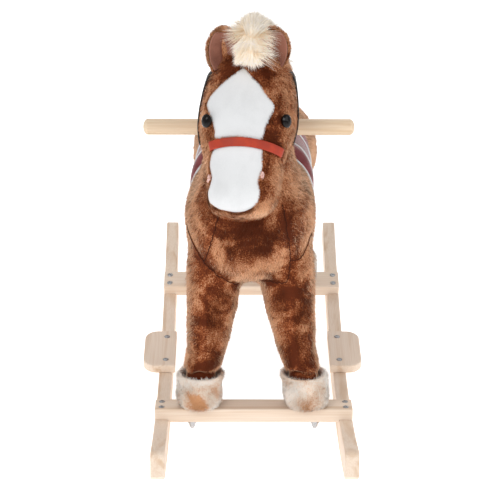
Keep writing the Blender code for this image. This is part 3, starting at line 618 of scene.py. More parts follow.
def scatter(obj, count, seed, weight=None):
    """Random points on a mesh, spread by area times weight, with their normals."""
    mesh = obj.data
    mesh.calc_loop_triangles()
    corners = np.empty(len(mesh.loop_triangles) * 3, int)
    mesh.loop_triangles.foreach_get("vertices", corners)
    corners = corners.reshape(-1, 3)
    points, normals = coordinates(mesh), vertex_normals(mesh)
    a, b, c = (points[corners[:, i]] for i in range(3))
    area = np.linalg.norm(np.cross(b - a, c - a), axis=1)
    if weight is not None:
        area = area * weight((a + b + c) / 3, normals[corners[:, 0]])
    rng = np.random.default_rng(seed)
    pick = np.searchsorted(np.cumsum(area) / area.sum(), rng.random(count))
    pick = np.minimum(pick, len(area) - 1)
    u, v = rng.random(count), rng.random(count)
    flip = u + v > 1
    u[flip], v[flip] = 1 - u[flip], 1 - v[flip]
    shares = np.stack([1 - u - v, u, v], 1)
    chosen = corners[pick]
    place = (points[chosen] * shares[:, :, None]).sum(1)
    normal = unit((normals[chosen] * shares[:, :, None]).sum(1))
    return place, normal, rng


def uncovered(roots, normals, covers, reach=0.008):
    """False where something lies over the root."""
    free = np.ones(len(roots), bool)
    for cover in covers:
        low, high = (np.array(c) for c in corners_of(cover))
        inside = np.nonzero(((roots > low - reach) & (roots < high + reach)).all(1))[0]
        surface = surface_of(cover)
        for i in inside:
            start = Vector(roots[i] - normals[i] * 0.002)
            if surface.ray_cast(start, Vector(normals[i]), reach)[0] is not None:
                free[i] = False
    return free


def corners_of(obj):
    points = coordinates(obj.data)
    return points.min(0), points.max(0)


def pile(name, skin, count, groom, material, weight=None, covers=(), length=PILE_LENGTH,
         width=PILE_WIDTH, lift=0.55, seams=None, seed=1, wander=0.45, tone=nap_light_and_shade):
    """Short cut pile on a skin, combed along groom and lying at the angle lift."""
    roots, normals, rng = scatter(skin, count, seed, weight)
    keep = uncovered(roots, normals, covers)
    roots, normals = roots[keep], normals[keep]
    count = len(roots)
    comb = groom(roots)
    comb = comb + wander * np.stack([ripple(roots, 0.06, seed + k) for k in range(3)], 1)
    comb += 0.30 * rng.normal(size=(count, 3))
    comb -= normals * (comb * normals).sum(1, keepdims=True)
    comb = unit(comb)
    rise = lift + 0.25 * ripple(roots, 0.035, seed + 7) + 0.15 * rng.normal(size=count)
    rise = np.clip(rise, 0.12, 1.3)[:, None]
    directions = comb * np.cos(rise) + normals * np.sin(rise)
    lengths = length * rng.uniform(0.7, 1.2, count)
    # Each strand takes the tone at its root, painted shade and painted highlights included.
    nap = tone(roots)
    if seams is not None:
        apart = seam_distance(roots, seams)
        lengths *= np.clip(apart / 0.012, 0.22, 1.0)
        # Painted shade: near a seam the pile turns far darker, for the shadow in the seam's
        # groove.
        nap = nap - 5.0 * np.exp(-((apart / 0.0042) ** 2))
    sides = unit(np.cross(directions, normals) + 0.5 * rng.normal(size=(count, 3)))
    shade = unit(normals + 0.25 * comb + 0.18 * rng.normal(size=(count, 3)))
    return strands_mesh(name, roots - normals * 0.0005, directions, -normals * 0.12, sides,
                        lengths, width, 1, shade, material, nap=nap)


# ------------------------------------------------------------------ bands and patches
def tangents(path, closed):
    """Which way a path runs at each of its points."""
    last = len(path) - 1
    made = []
    for i in range(len(path)):
        before = path[i - 1] if closed else path[max(i - 1, 0)]
        after = path[(i + 1) % len(path)] if closed else path[min(i + 1, last)]
        made.append((after - before).normalized())
    return made


def swept(name, rings, material, closed=False):
    """A skin through rings of equally many points, with flat ends unless it's closed."""
    around = len(rings[0])
    points = [point for ring in rings for point in ring]
    rows = len(rings) + 1 if closed else len(rings)
    faces = [tuple(p % len(points) for p in face) for face in grid_faces(rows, around, True)]
    if not closed:
        faces += [tuple(range(around)), tuple(range(len(points) - around, len(points)))]
    return outward(from_faces(name, points, faces, material))


def ribbon(name, path, outs, half_width, thickness, material, closed=False):
    """A flat band with rounded edges along a path; outs point away from what it lies on."""
    section = []
    for step in range(16):
        angle = 2 * math.pi * step / 16
        c, s = math.cos(angle), math.sin(angle)
        section.append((math.copysign(abs(c) ** 0.35, c) * half_width,
                        math.copysign(abs(s) ** 0.6, s) * thickness / 2))
    rings = []
    for place, tangent, normal in zip(path, tangents(path, closed), outs):
        out = (normal - tangent * normal.dot(tangent)).normalized()
        across = tangent.cross(out)
        rings.append([place + across * u + out * v for u, v in section])
    return swept(name, rings, material, closed)


def tube(name, path, radius, material, closed=False, sides=10):
    """A round cord of piping or thread."""
    rings = []
    out = Z_AXIS
    for place, tangent in zip(path, tangents(path, closed)):
        out = out - tangent * out.dot(tangent)
        if out.length < 0.1:
            out = X_AXIS - tangent * X_AXIS.dot(tangent)
        out.normalize()
        across = tangent.cross(out)
        turns = [2 * math.pi * step / sides for step in range(sides)]
        rings.append([place + (across * math.cos(a) + out * math.sin(a)) * radius
                      for a in turns])
    return swept(name, rings, material, closed)


def padded_sheet(name, top, under, rows, columns, border, material):
    """Two grids of points, one over the other, joined along their border."""
    count = len(top)
    faces = grid_faces(rows, columns)
    faces += [tuple(count + p for p in face[::-1]) for face in grid_faces(rows, columns)]
    for a, b in zip(border, border[1:] + border[:1]):
        faces.append((a, b, count + b, count + a))
    return outward(from_faces(name, top + under, faces, material))


def grid_border(rows, columns):
    """The points round a grid: first row, last column, last row, first column."""
    last = (rows - 1) * columns
    return ([*range(columns)]
            + [i * columns + columns - 1 for i in range(1, rows)]
            + [last + j for j in range(columns - 2, -1, -1)]
            + [i * columns for i in range(rows - 2, 0, -1)])


def on_face(surface, along, across, lift=0.0):
    """A point over the front of the head, and which way is out there."""
    start = face_point(along, across, 0.15)
    place, normal, _, _ = surface.ray_cast(start, -FACE_OUT, 0.15)
    if place is None:
        place, normal, _, _ = surface.find_nearest(face_point(along, across))
    return place + normal * lift, normal


def round_head(surface, along, angle, lift=0.0):
    """A point on the head at an angle round it from the left, over the face to the right."""
    middle = face_point(along)
    out = X_AXIS * math.cos(angle) + FACE_OUT * math.sin(angle)
    place, normal, _, _ = surface.ray_cast(middle + out * 0.15, -out)
    return place + normal * lift, normal


def patch(name, surface, outline, centre, material, rise=0.0022, samples=120):
    """A padded appliqué on the face inside an outline of (along, across) points."""
    edge = smooth_line([(a, b, 0) for a, b in (*outline, outline[0])], samples + 1)[:-1]
    rings = (1.0, 0.985, 0.96, 0.92, 0.86, 0.78, 0.68, 0.56, 0.42, 0.28, 0.14)
    points = []
    for share in rings:
        lift = rise * min(1.0, (1 - share) / 0.14) ** 0.5 - 0.0008
        for a, b, _ in edge:
            along = centre[0] + (a - centre[0]) * share
            across = centre[1] + (b - centre[1]) * share
            points.append(on_face(surface, along, across, lift)[0])
    points.append(on_face(surface, *centre, rise - 0.0008)[0])
    faces = grid_faces(len(rings), samples, True)
    last = (len(rings) - 1) * samples
    faces += [(last + j, last + (j + 1) % samples, len(points) - 1) for j in range(samples)]
    return faced_out(from_faces(name, points, faces, material), FACE_OUT)


def faced_out(obj, direction):
    """Turns an open sheet so that its faces look along direction."""
    mesh = obj.data
    total = sum((p.normal * p.area for p in mesh.polygons), Vector())
    if total.dot(direction) < 0:
        mesh.flip_normals()
    return obj


# ------------------------------------------------------------------ the horse
HORSE_NODES = ("torso_cover", "neck_cover", "head_cover", "seat_board", "neck_post")
SLEEVES = tuple(f"leg_sleeve_{end}_{side}" for end, _ in ENDS for side, _ in SIDES)
POSTS = tuple(f"leg_post_{end}_{side}" for end, _ in ENDS for side, _ in SIDES)


def face_coordinates(points):
    """Along, across and out of the face, for rows of points."""
    offset = points - np.array(POLL)
    middle = HEAD_X + HEAD_TURN * (points[:, 1] - HEAD_Y) + HEAD_TILT * (points[:, 2] - HEAD_Z)
    return offset @ np.array(FACE_DOWN), points[:, 0] - middle, offset @ np.array(FACE_OUT)


def in_head(points):
    along, _, out = face_coordinates(points)
    return (out > -0.055) & (along > -0.08)


def build_skin(backing):
    """The whole plush cover, sewn from panels and stuffed."""
    skin = joined_solid("plush_cover", HORSE_NODES + SLEEVES + POSTS)
    mesh = skin.data
    move_points(mesh, coordinates(mesh) - vertex_normals(mesh) * TUCK)
    seams = seam_tree((*CHEST_SEAMS, *LEG_TOP_SEAMS, *LEG_FRONT_SEAMS), surface_of(skin))
    stuff(skin, seam_distance(coordinates(mesh), seams) < 0.0035)
    subdivided(skin)
    press_seams(skin, seams)
    # The nap attribute on the skin carries nap tone with painted shade and painted highlights.
    set_attribute(skin.data, "nap", nap_light_and_shade(coordinates(skin.data)) - 0.5)
    skin.data.materials.clear()
    skin.data.materials.append(backing)
    return skin, seams


def combed_down(points):
    """The nap runs down the legs and chest, and down and back along the body."""
    comb = np.zeros_like(points)
    comb[:, 2] = -1.0
    comb[:, 1] = np.clip((points[:, 1] + 0.12) * 6, 0, 0.8)
    return comb


def combed_face(points):
    comb = np.tile(np.array(FACE_DOWN), (len(points), 1))
    _, across, _ = face_coordinates(points)
    comb[:, 0] += across * 12
    return comb


def finish_piece(obj, body, slot, *replaced):
    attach(obj, body)
    if replaced:
        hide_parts(*replaced)
    return obj


UPPER_BLAZE = (
    (-0.003, -0.002), (0.010, 0.009), (0.020, 0.019), (0.034, 0.029), (0.047, 0.0385),
    (0.060, 0.036), (0.076, 0.030), (0.090, 0.026), (0.090, 0.010), (0.088, -0.008),
    (0.086, -0.030), (0.074, -0.033), (0.060, -0.0375), (0.042, -0.044), (0.030, -0.041),
    (0.018, -0.029), (0.006, -0.015),
)
LOWER_BLAZE = (
    (0.093, -0.030), (0.100, -0.0345), (0.112, -0.0355), (0.127, -0.032), (0.137, -0.0335),
    (0.144, -0.0355), (0.156, -0.032), (0.165, -0.022), (0.169, -0.010), (0.1705, 0.002),
    (0.169, 0.014), (0.163, 0.025), (0.151, 0.0285), (0.141, 0.026), (0.130, 0.027),
    (0.117, 0.029), (0.102, 0.028), (0.096, 0.024), (0.092, 0.0), (0.091, -0.015),
)


UPPER_CENTRE, LOWER_CENTRE = (0.048, -0.003), (0.130, -0.003)


def build_blaze(surface, white):
    upper = patch("blaze_upper", surface, UPPER_BLAZE, UPPER_CENTRE, white)
    lower = patch("blaze_lower", surface, LOWER_BLAZE, LOWER_CENTRE, white)
    return [finish_piece(upper, "horse", "cream_plush"),
            finish_piece(lower, "horse", "cream_plush")]


def noseband_along(angle):
    """The band is highest over the nose and runs down towards the cheeks, more on the left."""
    return 0.0925 + 0.0035 * math.cos(angle) ** 2 + 0.004 * math.cos(angle)


def build_straps(surface, red, black):
    """A closed noseband, sunk into the plush at the sides and below, and the headstall."""
    placed = []
    for i in range(160):
        turn = 2 * math.pi * i / 160
        past = abs(turn - math.radians(88)) - math.radians(58)
        buried = min(1.0, max(0.0, past / math.radians(12)))
        placed.append(round_head(surface, noseband_along(turn), turn, 0.0030 - 0.0095 * buried))
    noseband = ribbon("nose_band", [p for p, _ in placed], [n for _, n in placed],
                      0.0054, 0.0024, red, closed=True)
    finish_piece(noseband, "horse", "red_strap", "noseband")
    placed = []
    for i in range(91):
        turn = math.pi * i / 90
        angle = turn - STRAP_HUG * math.sin(2 * turn) - STRAP_DROP * math.cos(turn)
        along = STRAP_LOW + (STRAP_TOP - STRAP_LOW) * math.sin(turn)
        hidden = min(1.0, max(0.0, -0.002 - along) / 0.010)
        placed.append(round_head(surface, along, angle, 0.0020 - 0.0060 * hidden))
    strap = ribbon("head_strap", [p for p, _ in placed], [n for _, n in placed],
                   0.0055, 0.0022, black)
    finish_piece(strap, "horse", "black_strap", "headstall")
    return [noseband, strap]


def build_nostrils(surface, pink):
    """Pale nostrils at the borders of the white patch."""
    for name, across, along in (("left", 0.028, 0.130), ("right", -0.034, 0.127)):
        outline = [(along + 0.0052 * math.cos(a), across + 0.0024 * math.sin(a))
                   for a in (2 * math.pi * k / 12 for k in range(12))]
        nostril = patch("nostril_" + name, surface, outline, (along, across), pink, samples=36)
        finish_piece(nostril, "horse", "ear_lining")


def build_eyes(paint):
    for name, _ in SIDES:
        eye = nodes["eye_" + name]
        eye.data.materials.clear()
        eye.data.materials.append(paint)


LINING_INSET = 0.0042


def ear_half_width(share):
    """Of the ear's full half width, from its base at 0 to its tip at 1."""
    if share < 0.42:
        return 0.62 + 0.38 * math.sin(math.pi / 2 * share / 0.42) ** 0.9
    return max(0.0, 1 - ((share - 0.42) / 0.58) ** 2.3) ** 0.62


def ear_tone(points):
    return 0.55 + 0.5 * ripple(points, 0.02, 8)


def build_ears(plush, lining, shadow):
    """Cupped ears: a padded brown shell with a furry rim round a folded mauve lining."""
    for name, side in SIDES:
        low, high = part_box("ear_" + name)
        middle = (low + high) / 2
        height = high.z - low.z + 0.001
        half = (high.x - low.x) / 2 * 1.02
        base = Vector((middle.x, middle.y, low.z - 0.004))
        out = Vector((side * 0.16, -0.86, 0.30)).normalized()
        up = (Z_AXIS - out * Z_AXIS.dot(out)).normalized()
        across = up.cross(out)

        def shell_point(u, v, back=0.0, shrink=0.0):
            """u from -1 to 1 across, v from 0 at the base to 1 at the tip."""
            wide = half * ear_half_width(v) - shrink
            cup = 0.013 * (1 - u * u) * math.sin(math.pi * min(1.0, 0.18 + 0.8 * v)) ** 0.8
            lean = side * 0.004 * v
            return (base + up * (height * v) + across * (wide * u + lean)
                    + out * (0.004 - cup - back))

        rows, columns = 26, 25
        front, rear = [], []
        for i in range(rows):
            v = i / (rows - 1) * 0.985
            for j in range(columns):
                u = math.sin(math.pi / 2 * (2 * j / (columns - 1) - 1))
                front.append(shell_point(u, v))
                thick = 0.0055 * math.sqrt(max(0.0, 1 - u * u)) + 0.003
                rear.append(shell_point(u, v, thick))
        border = grid_border(rows, columns)
        border = [border[0], *border[:0:-1]]
        shell = padded_sheet("ear_shell_" + name, front, rear, rows, columns, border, plush)
        subdivided(shell)
        finish_piece(shell, "horse", "plush", "ear_" + name)

        def fold_across(v):
            return side * (0.10 + 0.35 * (v - 0.45))

        def fold_depth(v):
            return 0.0065 * math.exp(-((v - 0.38) / 0.30) ** 2)

        inner = []
        for i in range(30):
            v = 0.06 + 0.80 * i / 29
            for j in range(29):
                u = (2 * j / 28 - 1) * 0.98
                pinch = fold_depth(v) * math.exp(-((u - fold_across(v)) / 0.16) ** 2)
                inner.append(shell_point(u, v, pinch - 0.0016, LINING_INSET))
        lined = from_faces("ear_lining_" + name, inner, grid_faces(30, 29), lining)
        faced_out(lined, out)
        solid = lined.modifiers.new("Thick", "SOLIDIFY")
        solid.thickness, solid.offset = 0.0012, -1
        apply_modifiers(lined)
        finish_piece(lined, "horse", "ear_lining")
        # Painted shade: a dark cord laid along the fold of the lining, for the shadow in the
        # crease.
        crease = [shell_point(fold_across(v), v, fold_depth(v) - 0.0024, LINING_INSET)
                  for v in (0.10 + 0.52 * i / 24 for i in range(25))]
        folded = tube("ear_crease_shadow_" + name, crease, 0.0015, shadow)
        finish_piece(folded, "horse", "ear_lining")
        fur = pile("pile_ear_" + name, shell, 12000,
                   lambda at, up=up: np.tile(np.array(up), (len(at), 1)), plush,
                   covers=[lined], length=0.0052, lift=0.7, seed=81 + side, tone=ear_tone)
        finish_piece(fur, "horse", "plush")


def ring_radius(surface, middle, out):
    """How far out from the middle a surface lies."""
    place = surface.ray_cast(middle + out * 0.09, -out, 0.09)[0]
    return (place - middle).dot(out) if place is not None else 0.02


# Heights above the foot, and how far each ring stands out from the CAD cuff.
CUFF_OUTSIDE = ((0.0004, -0.006), (0.0016, -0.0025), (0.006, -0.0012), (0.013, -0.0012),
                (0.021, -0.0016), (0.029, -0.0018), (0.035, -0.0012), (0.039, 0.0002),
                (0.0425, 0.0008))
CUFF_RIM = ((0.0450, -0.0002), (0.0455, -0.0022), (0.0442, -0.0042), (0.041, -0.0056),
            (0.034, -0.0070))
LEG_END = ((0.028, -0.0105), (0.040, -0.0105), (0.047, -0.0112), (0.053, -0.0130))
AROUND_HOOF = 40
HOOF_LEAN = 0.06  # sideways for each unit of height
HOOF_MIDDLE = 0.025


def build_hoof(tag, end, side, cream, brown):
    """A cream cuff, rolled out at its rim round the brown end of the leg, and its pile."""
    up = Vector((0, -end * math.sin(LEG_TILT), math.cos(LEG_TILT)))
    back = Vector((0, math.cos(LEG_TILT), end * math.sin(LEG_TILT)))
    node = "hoof_cuff_" + tag
    surface = surface_of(nodes[node])
    low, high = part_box(node)
    foot = (low + high) / 2 - up * 0.0252

    def rings(profile, sampled, bulge):
        """Rings at heights; sampled gives where the CAD cuff's outline is taken for one."""
        made = []
        for height, grow in profile:
            lean = X_AXIS * (-side * HOOF_LEAN * (height - HOOF_MIDDLE))
            sample = sampled(height, lean)
            ring = []
            for k in range(AROUND_HOOF):
                angle = 2 * math.pi * k / AROUND_HOOF
                out = X_AXIS * math.cos(angle) + back * math.sin(angle)
                full = bulge * max(0.0, -out.y) * max(0.0, 1 - height / 0.030)
                radius = ring_radius(surface, sample, out) + grow + full
                ring.append(foot + up * height + lean + out * radius)
            made.append(ring)
        return made

    cuff = swept("hoof_" + tag, rings(
        (*CUFF_OUTSIDE, *CUFF_RIM),
        lambda height, lean: foot + up * min(max(height, 0.003), 0.047) + lean, 0.003), cream)
    fixed = np.zeros(len(cuff.data.vertices), bool)
    fixed[:2 * AROUND_HOOF] = True
    fixed[(len(CUFF_OUTSIDE) - 1) * AROUND_HOOF:] = True
    stuff(cuff, fixed, pressure=3.0, limit=0.002)
    subdivided(cuff)
    front = np.array(foot + up * 0.018 - Y_AXIS * 0.03)

    def warmth(at):
        """A tan patch at the front of the cream hoof."""
        distance = np.linalg.norm((at - front) * (1.0, 1.0, 0.9), axis=1)
        return 0.8 - 2.6 * np.exp(-((distance / 0.019) ** 2))

    def flared(at):
        return (at - np.array(foot)) * (6.0, 6.0, 0.0) + np.array((0.0, 0.0, -0.6))

    set_attribute(cuff.data, "nap", warmth(coordinates(cuff.data)))
    leg_end = swept("leg_end_" + tag, rings(LEG_END, lambda *_: foot + up * 0.040, 0.0), brown)
    # Painted shade: the end of the leg inside the cuff's rim gets the darkest tone, for the shade
    # down there.
    set_attribute(leg_end.data, "nap", np.full(len(leg_end.data.vertices), -1.5))
    finish_piece(leg_end, "horse", "plush")
    finish_piece(cuff, "horse", "cream_plush", node)
    top = np.array(foot + up * 0.041)
    fur = pile("pile_hoof_" + tag, cuff, 15000, flared, cream, length=0.0062, lift=0.6,
               weight=lambda at, _: (at - top) @ np.array(up) < 0.0045,
               seed=41 + side + 3 * end, tone=warmth)
    finish_piece(fur, "horse", "cream_plush")


def soft_core(name, node, tuck, material):
    """A smooth stuffed core inside a long-pile CAD solid."""
    core = reskinned(new_object(name, nodes[node].data.copy()), 0.003, 6)
    mesh = core.data
    mesh.materials.clear()
    mesh.materials.append(material)
    move_points(mesh, coordinates(mesh) - vertex_normals(mesh) * tuck)
    mesh.shade_smooth()
    set_attribute(mesh, "tip", np.full(len(mesh.vertices), 0.15))
    finish_piece(core, "tail" if node == "tail" else "horse", "long_pile", node)
    return core


def long_pile(name, core, count, flow, lengths, material, seed, weight=None, width=0.0011,
              droop=(0, 0, -0.35), ruffle=0.30, jitter=0.16):
    """Long strands from a core that follow flow, gathered loosely into locks."""
    roots, normals, rng = scatter(core, count, seed, weight)
    directions = flow(roots, normals)
    lock = np.stack([ripple(roots, 0.016, seed + k) for k in range(3)], 1)
    directions = unit(directions) + ruffle * lock + jitter * rng.normal(size=(count, 3))
    inward = np.minimum((directions * normals).sum(1, keepdims=True), 0.05) - 0.05
    directions = unit(directions - normals * inward)
    sides = unit(np.cross(directions, normals + 0.45 * rng.normal(size=(count, 3))))
    bends = np.array(droop) * rng.uniform(0.4, 1.3, (count, 1)) + 0.12 * lock
    reach = lengths(roots) * rng.uniform(0.65, 1.1, count)
    shade = unit(normals + 0.35 * rng.normal(size=(count, 3)))
    return strands_mesh(name, roots, directions, bends, sides, reach, width, 4, shade, material)


def build_mane(surface, material):
    """The crest down the neck, its tuft between the ears, and the forelock."""
    crest = soft_core("mane_core", "mane", 0.006, material)
    lock = soft_core("forelock_core", "forelock", 0.007, material)
    tip = on_face(surface, -0.003, -0.002, 0.004)[0]
    points = coordinates(lock.data)
    past = np.maximum(face_coordinates(points)[0] + 0.010, 0.0)
    points -= past[:, None] * np.array(FACE_DOWN)
    points[:, 0] = points[:, 0].mean() + (points[:, 0] - points[:, 0].mean()) * 0.5
    move_points(lock.data, points)

    def crest_flow(at, normals):
        top = np.clip((at[:, 2] - 0.535) / 0.03, 0, 1)[:, None]
        side = np.sign(at[:, 0] - 0.004)[:, None] * np.array((0.55, 0.0, 0.0))
        falling = side + np.array((0, 0.25, -0.75)) + 0.35 * normals
        standing = normals * (0.4, 0.0, 0.2) + np.array((0.22, 0.28, 0.9))
        return falling * (1 - top) + standing * top

    def crest_length(at):
        return 0.045 - 0.024 * np.clip((at[:, 2] - 0.535) / 0.03, 0, 1)

    mane = long_pile("mane_strands", crest, 24000, crest_flow, crest_length, material, 51)
    finish_piece(mane, "horse", "long_pile")
    build_forelock(lock, np.array(tip), material)


def build_forelock(lock, tip, material):
    """A lock that falls to a point on the brow, a fan over it, and wisps over the left ear."""
    low, high = corners_of(lock)
    middle_x = (low[0] + high[0]) / 2

    def falling(at, normals):
        return unit(tip - at) + 0.02 * normals

    def to_tip(at):
        return np.clip(np.linalg.norm(at - tip, axis=1) * 0.95, 0.004, 0.034)

    def fan(at, _):
        aim = np.tile((0.25, 0.35, 1.0), (len(at), 1))
        aim[:, 0] += 1.2 * (at[:, 0] - middle_x) / (high[0] - low[0])
        return unit(aim)

    def over_ear(at, _):
        return np.tile((1.0, -0.35, 0.10), (len(at), 1))

    def always(length):
        return lambda at: np.full(len(at), length)

    locks = (("forelock_strands", 9000, falling, to_tip, 0.05, 0.06, (0, 0, 0),
              lambda at, _: np.abs(at[:, 0] - middle_x) < 0.006),
             ("forelock_fan", 3200, fan, always(0.021), 0.10, 0.12, (0.04, 0, -0.06),
              lambda at, _: at[:, 2] > high[2] - 0.007),
             ("forelock_wisps", 130, over_ear, always(0.030), 0.16, 0.14, (0, 0, -0.20),
              lambda at, _: (at[:, 0] > middle_x) & (at[:, 2] < high[2] - 0.008)))
    for number, (name, count, flow, length, ruffle, jitter, droop, weight) in enumerate(locks):
        strands = long_pile(name, lock, count, flow, length, material, 61 + 3 * number, weight,
                            0.0009, droop, ruffle, jitter)
        finish_piece(strands, "horse", "long_pile")


def build_tail(material):
    core = soft_core("tail_core", "tail", 0.006, material)

    def flow(at, normals):
        return np.array((0, 0, -1.0)) + 0.32 * normals

    def length(at):
        low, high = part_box("tail")
        depth = (high.z - at[:, 2]) / (high.z - low.z)
        return 0.030 + 0.012 * np.sin(math.pi * np.clip(depth, 0, 1)) - 0.020 * depth**3

    strands = long_pile("tail_strands", core, 26000, flow, length, material, 71,
                        droop=(0, 0, -0.2))
    finish_piece(strands, "tail", "long_pile")


def build_saddle(skin_surface, cloth, trim):
    """A padded saddle over the back, quilted in panels, with white piping and welts."""
    node_surface = surface_of(nodes["saddle"])
    low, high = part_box("saddle")
    board_low, board_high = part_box("seat_board")
    axis = Vector(((board_low.x + board_high.x) / 2, 0, board_low.z))
    rows, columns = 31, 71
    wrap = math.radians(2)
    top, under = [], []
    for i in range(rows):
        share = i / (rows - 1)
        y = low.y + 0.001 + (high.y - low.y - 0.002) * share
        for j in range(columns):
            angle = -wrap + (math.pi + 2 * wrap) * j / (columns - 1)
            out = X_AXIS * math.cos(angle) + Z_AXIS * math.sin(angle)
            middle = Vector((axis.x, y, axis.z))
            outer = node_surface.ray_cast(middle + out * 0.2, -out, 0.2)[0]
            inner = skin_surface.ray_cast(middle + out * 0.2, -out, 0.2)[0]
            if outer is None or (outer - inner).dot(out) < 0.002:
                outer = inner + out * 0.0085
            to_edge = min(share, 1 - share) * (rows - 1), min(j, columns - 1 - j)
            near = min(1.0, min(to_edge) / 3)
            depth = (outer - inner).dot(out)
            hang = min(1.0, (min(angle, math.pi - angle) + wrap) / math.radians(45))
            depth = 0.0024 + (depth - 0.0024) * hang
            thick = 0.0022 + (depth - 0.0022) * math.sqrt(near)
            top.append(inner + out * thick)
            under.append(inner + out * 0.0006)
    border = grid_border(rows, columns)
    saddle = padded_sheet("saddle_pad", top, under, rows, columns, border, cloth)
    front, rear = 8, 23
    quilted = np.ones(2 * len(top), bool)
    for i in range(1, rows - 1):
        for j in range(1, columns - 1):
            seam = i in (front, rear) or (front < i < rear and j in (12, 23, 35, 47, 58))
            quilted[i * columns + j] = seam
    stuff(saddle, quilted, pressure=6.0, limit=0.0035)
    subdivided(saddle)
    finish_piece(saddle, "horse", "saddle_cloth", "saddle")
    edge = [top[k].lerp(under[k], 0.35) for k in border]
    piping = tube("saddle_piping", edge, 0.0019, trim, closed=True)
    finish_piece(piping, "horse", "cream_plush")
    for place, row in (("front", front), ("rear", rear)):
        path = [top[row * columns + j] + (top[row * columns + j] - axis).normalized() * 0.0004
                for j in range(columns)]
        welt = tube("saddle_welt_" + place, path, 0.0011, trim)
        finish_piece(welt, "horse", "cream_plush")
    return saddle


# ------------------------------------------------------------------ main
def build_stage():
    bpy.ops.mesh.primitive_plane_add(size=8.0, location=(0, 0, -0.0003))
    floor = bpy.context.object
    floor.name = "floor"
    paint = Paint("pale floor", roughness=0.9, specular_ior_level=0.0)
    paint.colour(paint.ramp(paint.noise(2.0), (0.0, (246, 246, 246)), (1.0, (250, 250, 250))))
    paint.shader.inputs["Emission Color"].default_value = (1, 1, 1, 1)
    paint.shader.inputs["Emission Strength"].default_value = 0.7
    floor.data.materials.append(paint.material)


def build_camera():
    pitch, yaw, roll = (math.radians(a) for a in (CAMERA_PITCH, CAMERA_YAW, CAMERA_ROLL))
    level = Vector((math.sin(yaw), math.cos(yaw), 0))
    forward = level * math.cos(pitch) - Z_AXIS * math.sin(pitch)
    right = Vector((math.cos(yaw), -math.sin(yaw), 0))
    down = -(level * math.sin(pitch) + Z_AXIS * math.cos(pitch))
    rolled_right = right * math.cos(roll) + down * math.sin(roll)
    rolled_down = down * math.cos(roll) - right * math.sin(roll)
    data = bpy.data.cameras.new("camera")
    data.lens = CAMERA_LENS
    data.sensor_width = 36.0
    camera = bpy.data.objects.new("camera", data)
    turn = Matrix((rolled_right, -rolled_down, -forward)).transposed().to_4x4()
    camera.matrix_world = Matrix.Translation(CAMERA_PLACE) @ turn
    bpy.context.scene.collection.objects.link(camera)
    bpy.context.scene.camera = camera


def area_light(name, place, target, size, power, colour=(1, 1, 1)):
    data = bpy.data.lights.new(name, "AREA")
    data.size, data.energy, data.color = size, power, colour
    light = bpy.data.objects.new(name, data)
    light.location = place
    aim = (Vector(target) - Vector(place)).to_track_quat("-Z", "Y")
    light.rotation_mode = "QUATERNION"
    light.rotation_quaternion = aim
    bpy.context.scene.collection.objects.link(light)


def build_lights():
    world = bpy.data.worlds.new("studio")
    world.use_nodes = True
    background = world.node_tree.nodes["Background"]
    background.inputs["Color"].default_value = (1.0, 1.0, 1.0, 1.0)
    background.inputs["Strength"].default_value = 0.55
    bpy.context.scene.world = world
    middle = (0, -0.05, 0.3)
    area_light("key", (-0.9, -1.5, 1.9), middle, 1.1, 17.0)
    area_light("fill", (1.3, -1.1, 1.2), middle, 1.2, 7.0)
    area_light("back", (0.2, 1.5, 1.5), middle, 1.2, 8.0)
    bpy.context.scene.view_settings.view_transform = "Standard"


def paint_base():
    along_y = wood_paint("birch along the rockers", "y")
    along_x = wood_paint("birch across", "x")
    upright = wood_paint("birch upright", "z")
    turned = wood_paint("turned handle", "x", (232, 210, 182), (205, 172, 132))
    steel = steel_paint()
    for name, node in nodes.items():
        if name.startswith(("rocker_", "footrest_l", "footrest_r", "seat_board")):
            material = along_y
        elif "crossbar" in name:
            material = along_x
        elif "post" in name:
            material = upright
        elif name == "handle_bar":
            material = turned
        elif name.split("_")[0] in ("cap", "washer") or "screw" in name or "bolt" in name:
            material = steel
        else:
            continue
        node.data.materials.clear()
        node.data.materials.append(material)


BLAZE_GAP_ALONG = 0.091


def build_fringe(skin, surface, blaze, plush):
    """Brown pile that leans over the borders of the white patches."""
    border = seam_tree([[on_face(surface, a, c)[0] for a, c in (*outline, outline[0])]
                        for outline in (UPPER_BLAZE, LOWER_BLAZE)], surface)
    upper, lower = (np.array(on_face(surface, *centre)[0])
                    for centre in (UPPER_CENTRE, LOWER_CENTRE))

    def beside_blaze(at, _):
        near = in_head(at)
        near[near] = seam_distance(at[near], border) < 0.0045
        return near

    def over_border(at):
        below = face_coordinates(at)[0] > BLAZE_GAP_ALONG
        return unit(np.where(below[:, None], lower, upper) - at)

    return pile("pile_fringe", skin, 16000, over_border, plush, weight=beside_blaze,
                covers=blaze, length=0.0056, lift=0.5, seed=15, wander=0.2)


def build_seam_shadows(surface, paint):
    """Dark cords of painted shade along the seams on the chest and over the legs."""
    for number, seam in enumerate((*CHEST_SEAMS, *LEG_TOP_SEAMS)):
        laid = [surface.find_nearest(point) for point in smooth_line(seam, 40)]
        path = [place + normal * 0.0019 for place, normal, *_ in laid]
        finish_piece(tube(f"seam_{number}", path, 0.0006, paint), "horse", "plush")


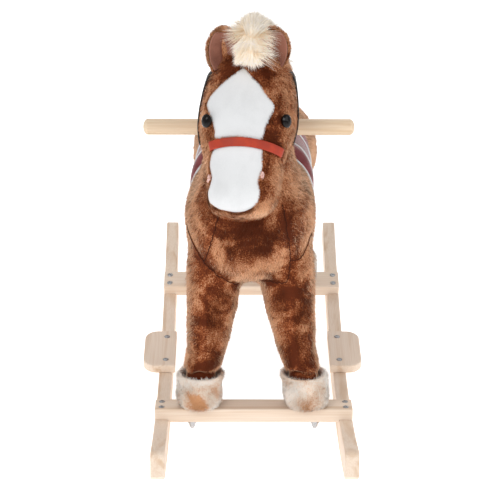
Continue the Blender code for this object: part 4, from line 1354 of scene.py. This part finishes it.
def build_fur(skin, seams, surface, blaze, straps, saddle, plush):
    """The brown pile of the head, the body and the legs."""
    head = pile("pile_head", skin, 70000, combed_face, plush,
                weight=lambda at, _: in_head(at), covers=blaze + straps, length=0.0058, seed=11)
    body = pile("pile_body", skin, 150000, combed_down, plush,
                weight=lambda at, _: ~in_head(at) & (at[:, 2] > LEG_TOP_Z), seams=seams,
                seed=21, covers=[saddle])
    legs = pile("pile_legs", skin, 110000, combed_down, plush,
                weight=lambda at, _: at[:, 2] <= LEG_TOP_Z, seams=seams, seed=31)
    for piece in (head, body, legs, build_fringe(skin, surface, blaze, plush)):
        finish_piece(piece, "horse", "plush")


def build_paints():
    return {
        "brown": plush_paint("brown plush", (88, 36, 13), (178, 98, 55), (248, 184, 138),
                             (252, 208, 172), contrast=0.17),
        "white": velour_paint("white velour", (222, 223, 224), (212, 213, 214)),
        "pink": velour_paint("pink nostril", (238, 200, 192), (214, 158, 146)),
        "red": strap_paint("red strap", (184, 60, 30), (150, 42, 20), 0.6),
        "black": strap_paint("black strap", (30, 25, 23), (14, 12, 11)),
        "seam": velour_paint("seam shadow", (66, 26, 10), (46, 18, 7), 0.0),
        "lining": velour_paint("ear lining", (158, 106, 88), (120, 74, 60)),
        "mane": long_pile_paint("cream mane", (244, 222, 188), (254, 243, 226), (255, 253, 248)),
        "cream": plush_paint("cream plush", (216, 160, 116), (246, 226, 206),
                             (254, 248, 240), (255, 250, 244), patch=22.0, depth=0.15),
        "saddle": cloth_paint("saddle cloth", (150, 80, 84), (108, 48, 50)),
    }


def main():
    build_camera()
    build_lights()
    build_stage()
    paint_base()
    paints = build_paints()
    plush = paints["brown"]
    skin, seams = build_skin(plush)
    surface = surface_of(skin)
    finish_piece(skin, "horse", "plush", "torso_cover", "neck_cover", "head_cover", *SLEEVES)
    blaze = build_blaze(surface, paints["white"])
    straps = build_straps(surface, paints["red"], paints["black"])
    build_nostrils(surface, paints["pink"])
    build_eyes(eye_paint())
    build_ears(plush, paints["lining"], paints["seam"])
    for end_name, end in ENDS:
        for name, side in SIDES:
            build_hoof(f"{end_name}_{name}", end, side, paints["cream"], plush)
    build_mane(surface, paints["mane"])
    build_tail(paints["mane"])
    saddle = build_saddle(surface, paints["saddle"], paints["white"])
    build_fur(skin, seams, surface, blaze, straps, saddle, plush)
    build_seam_shadows(surface, paints["seam"])


main()
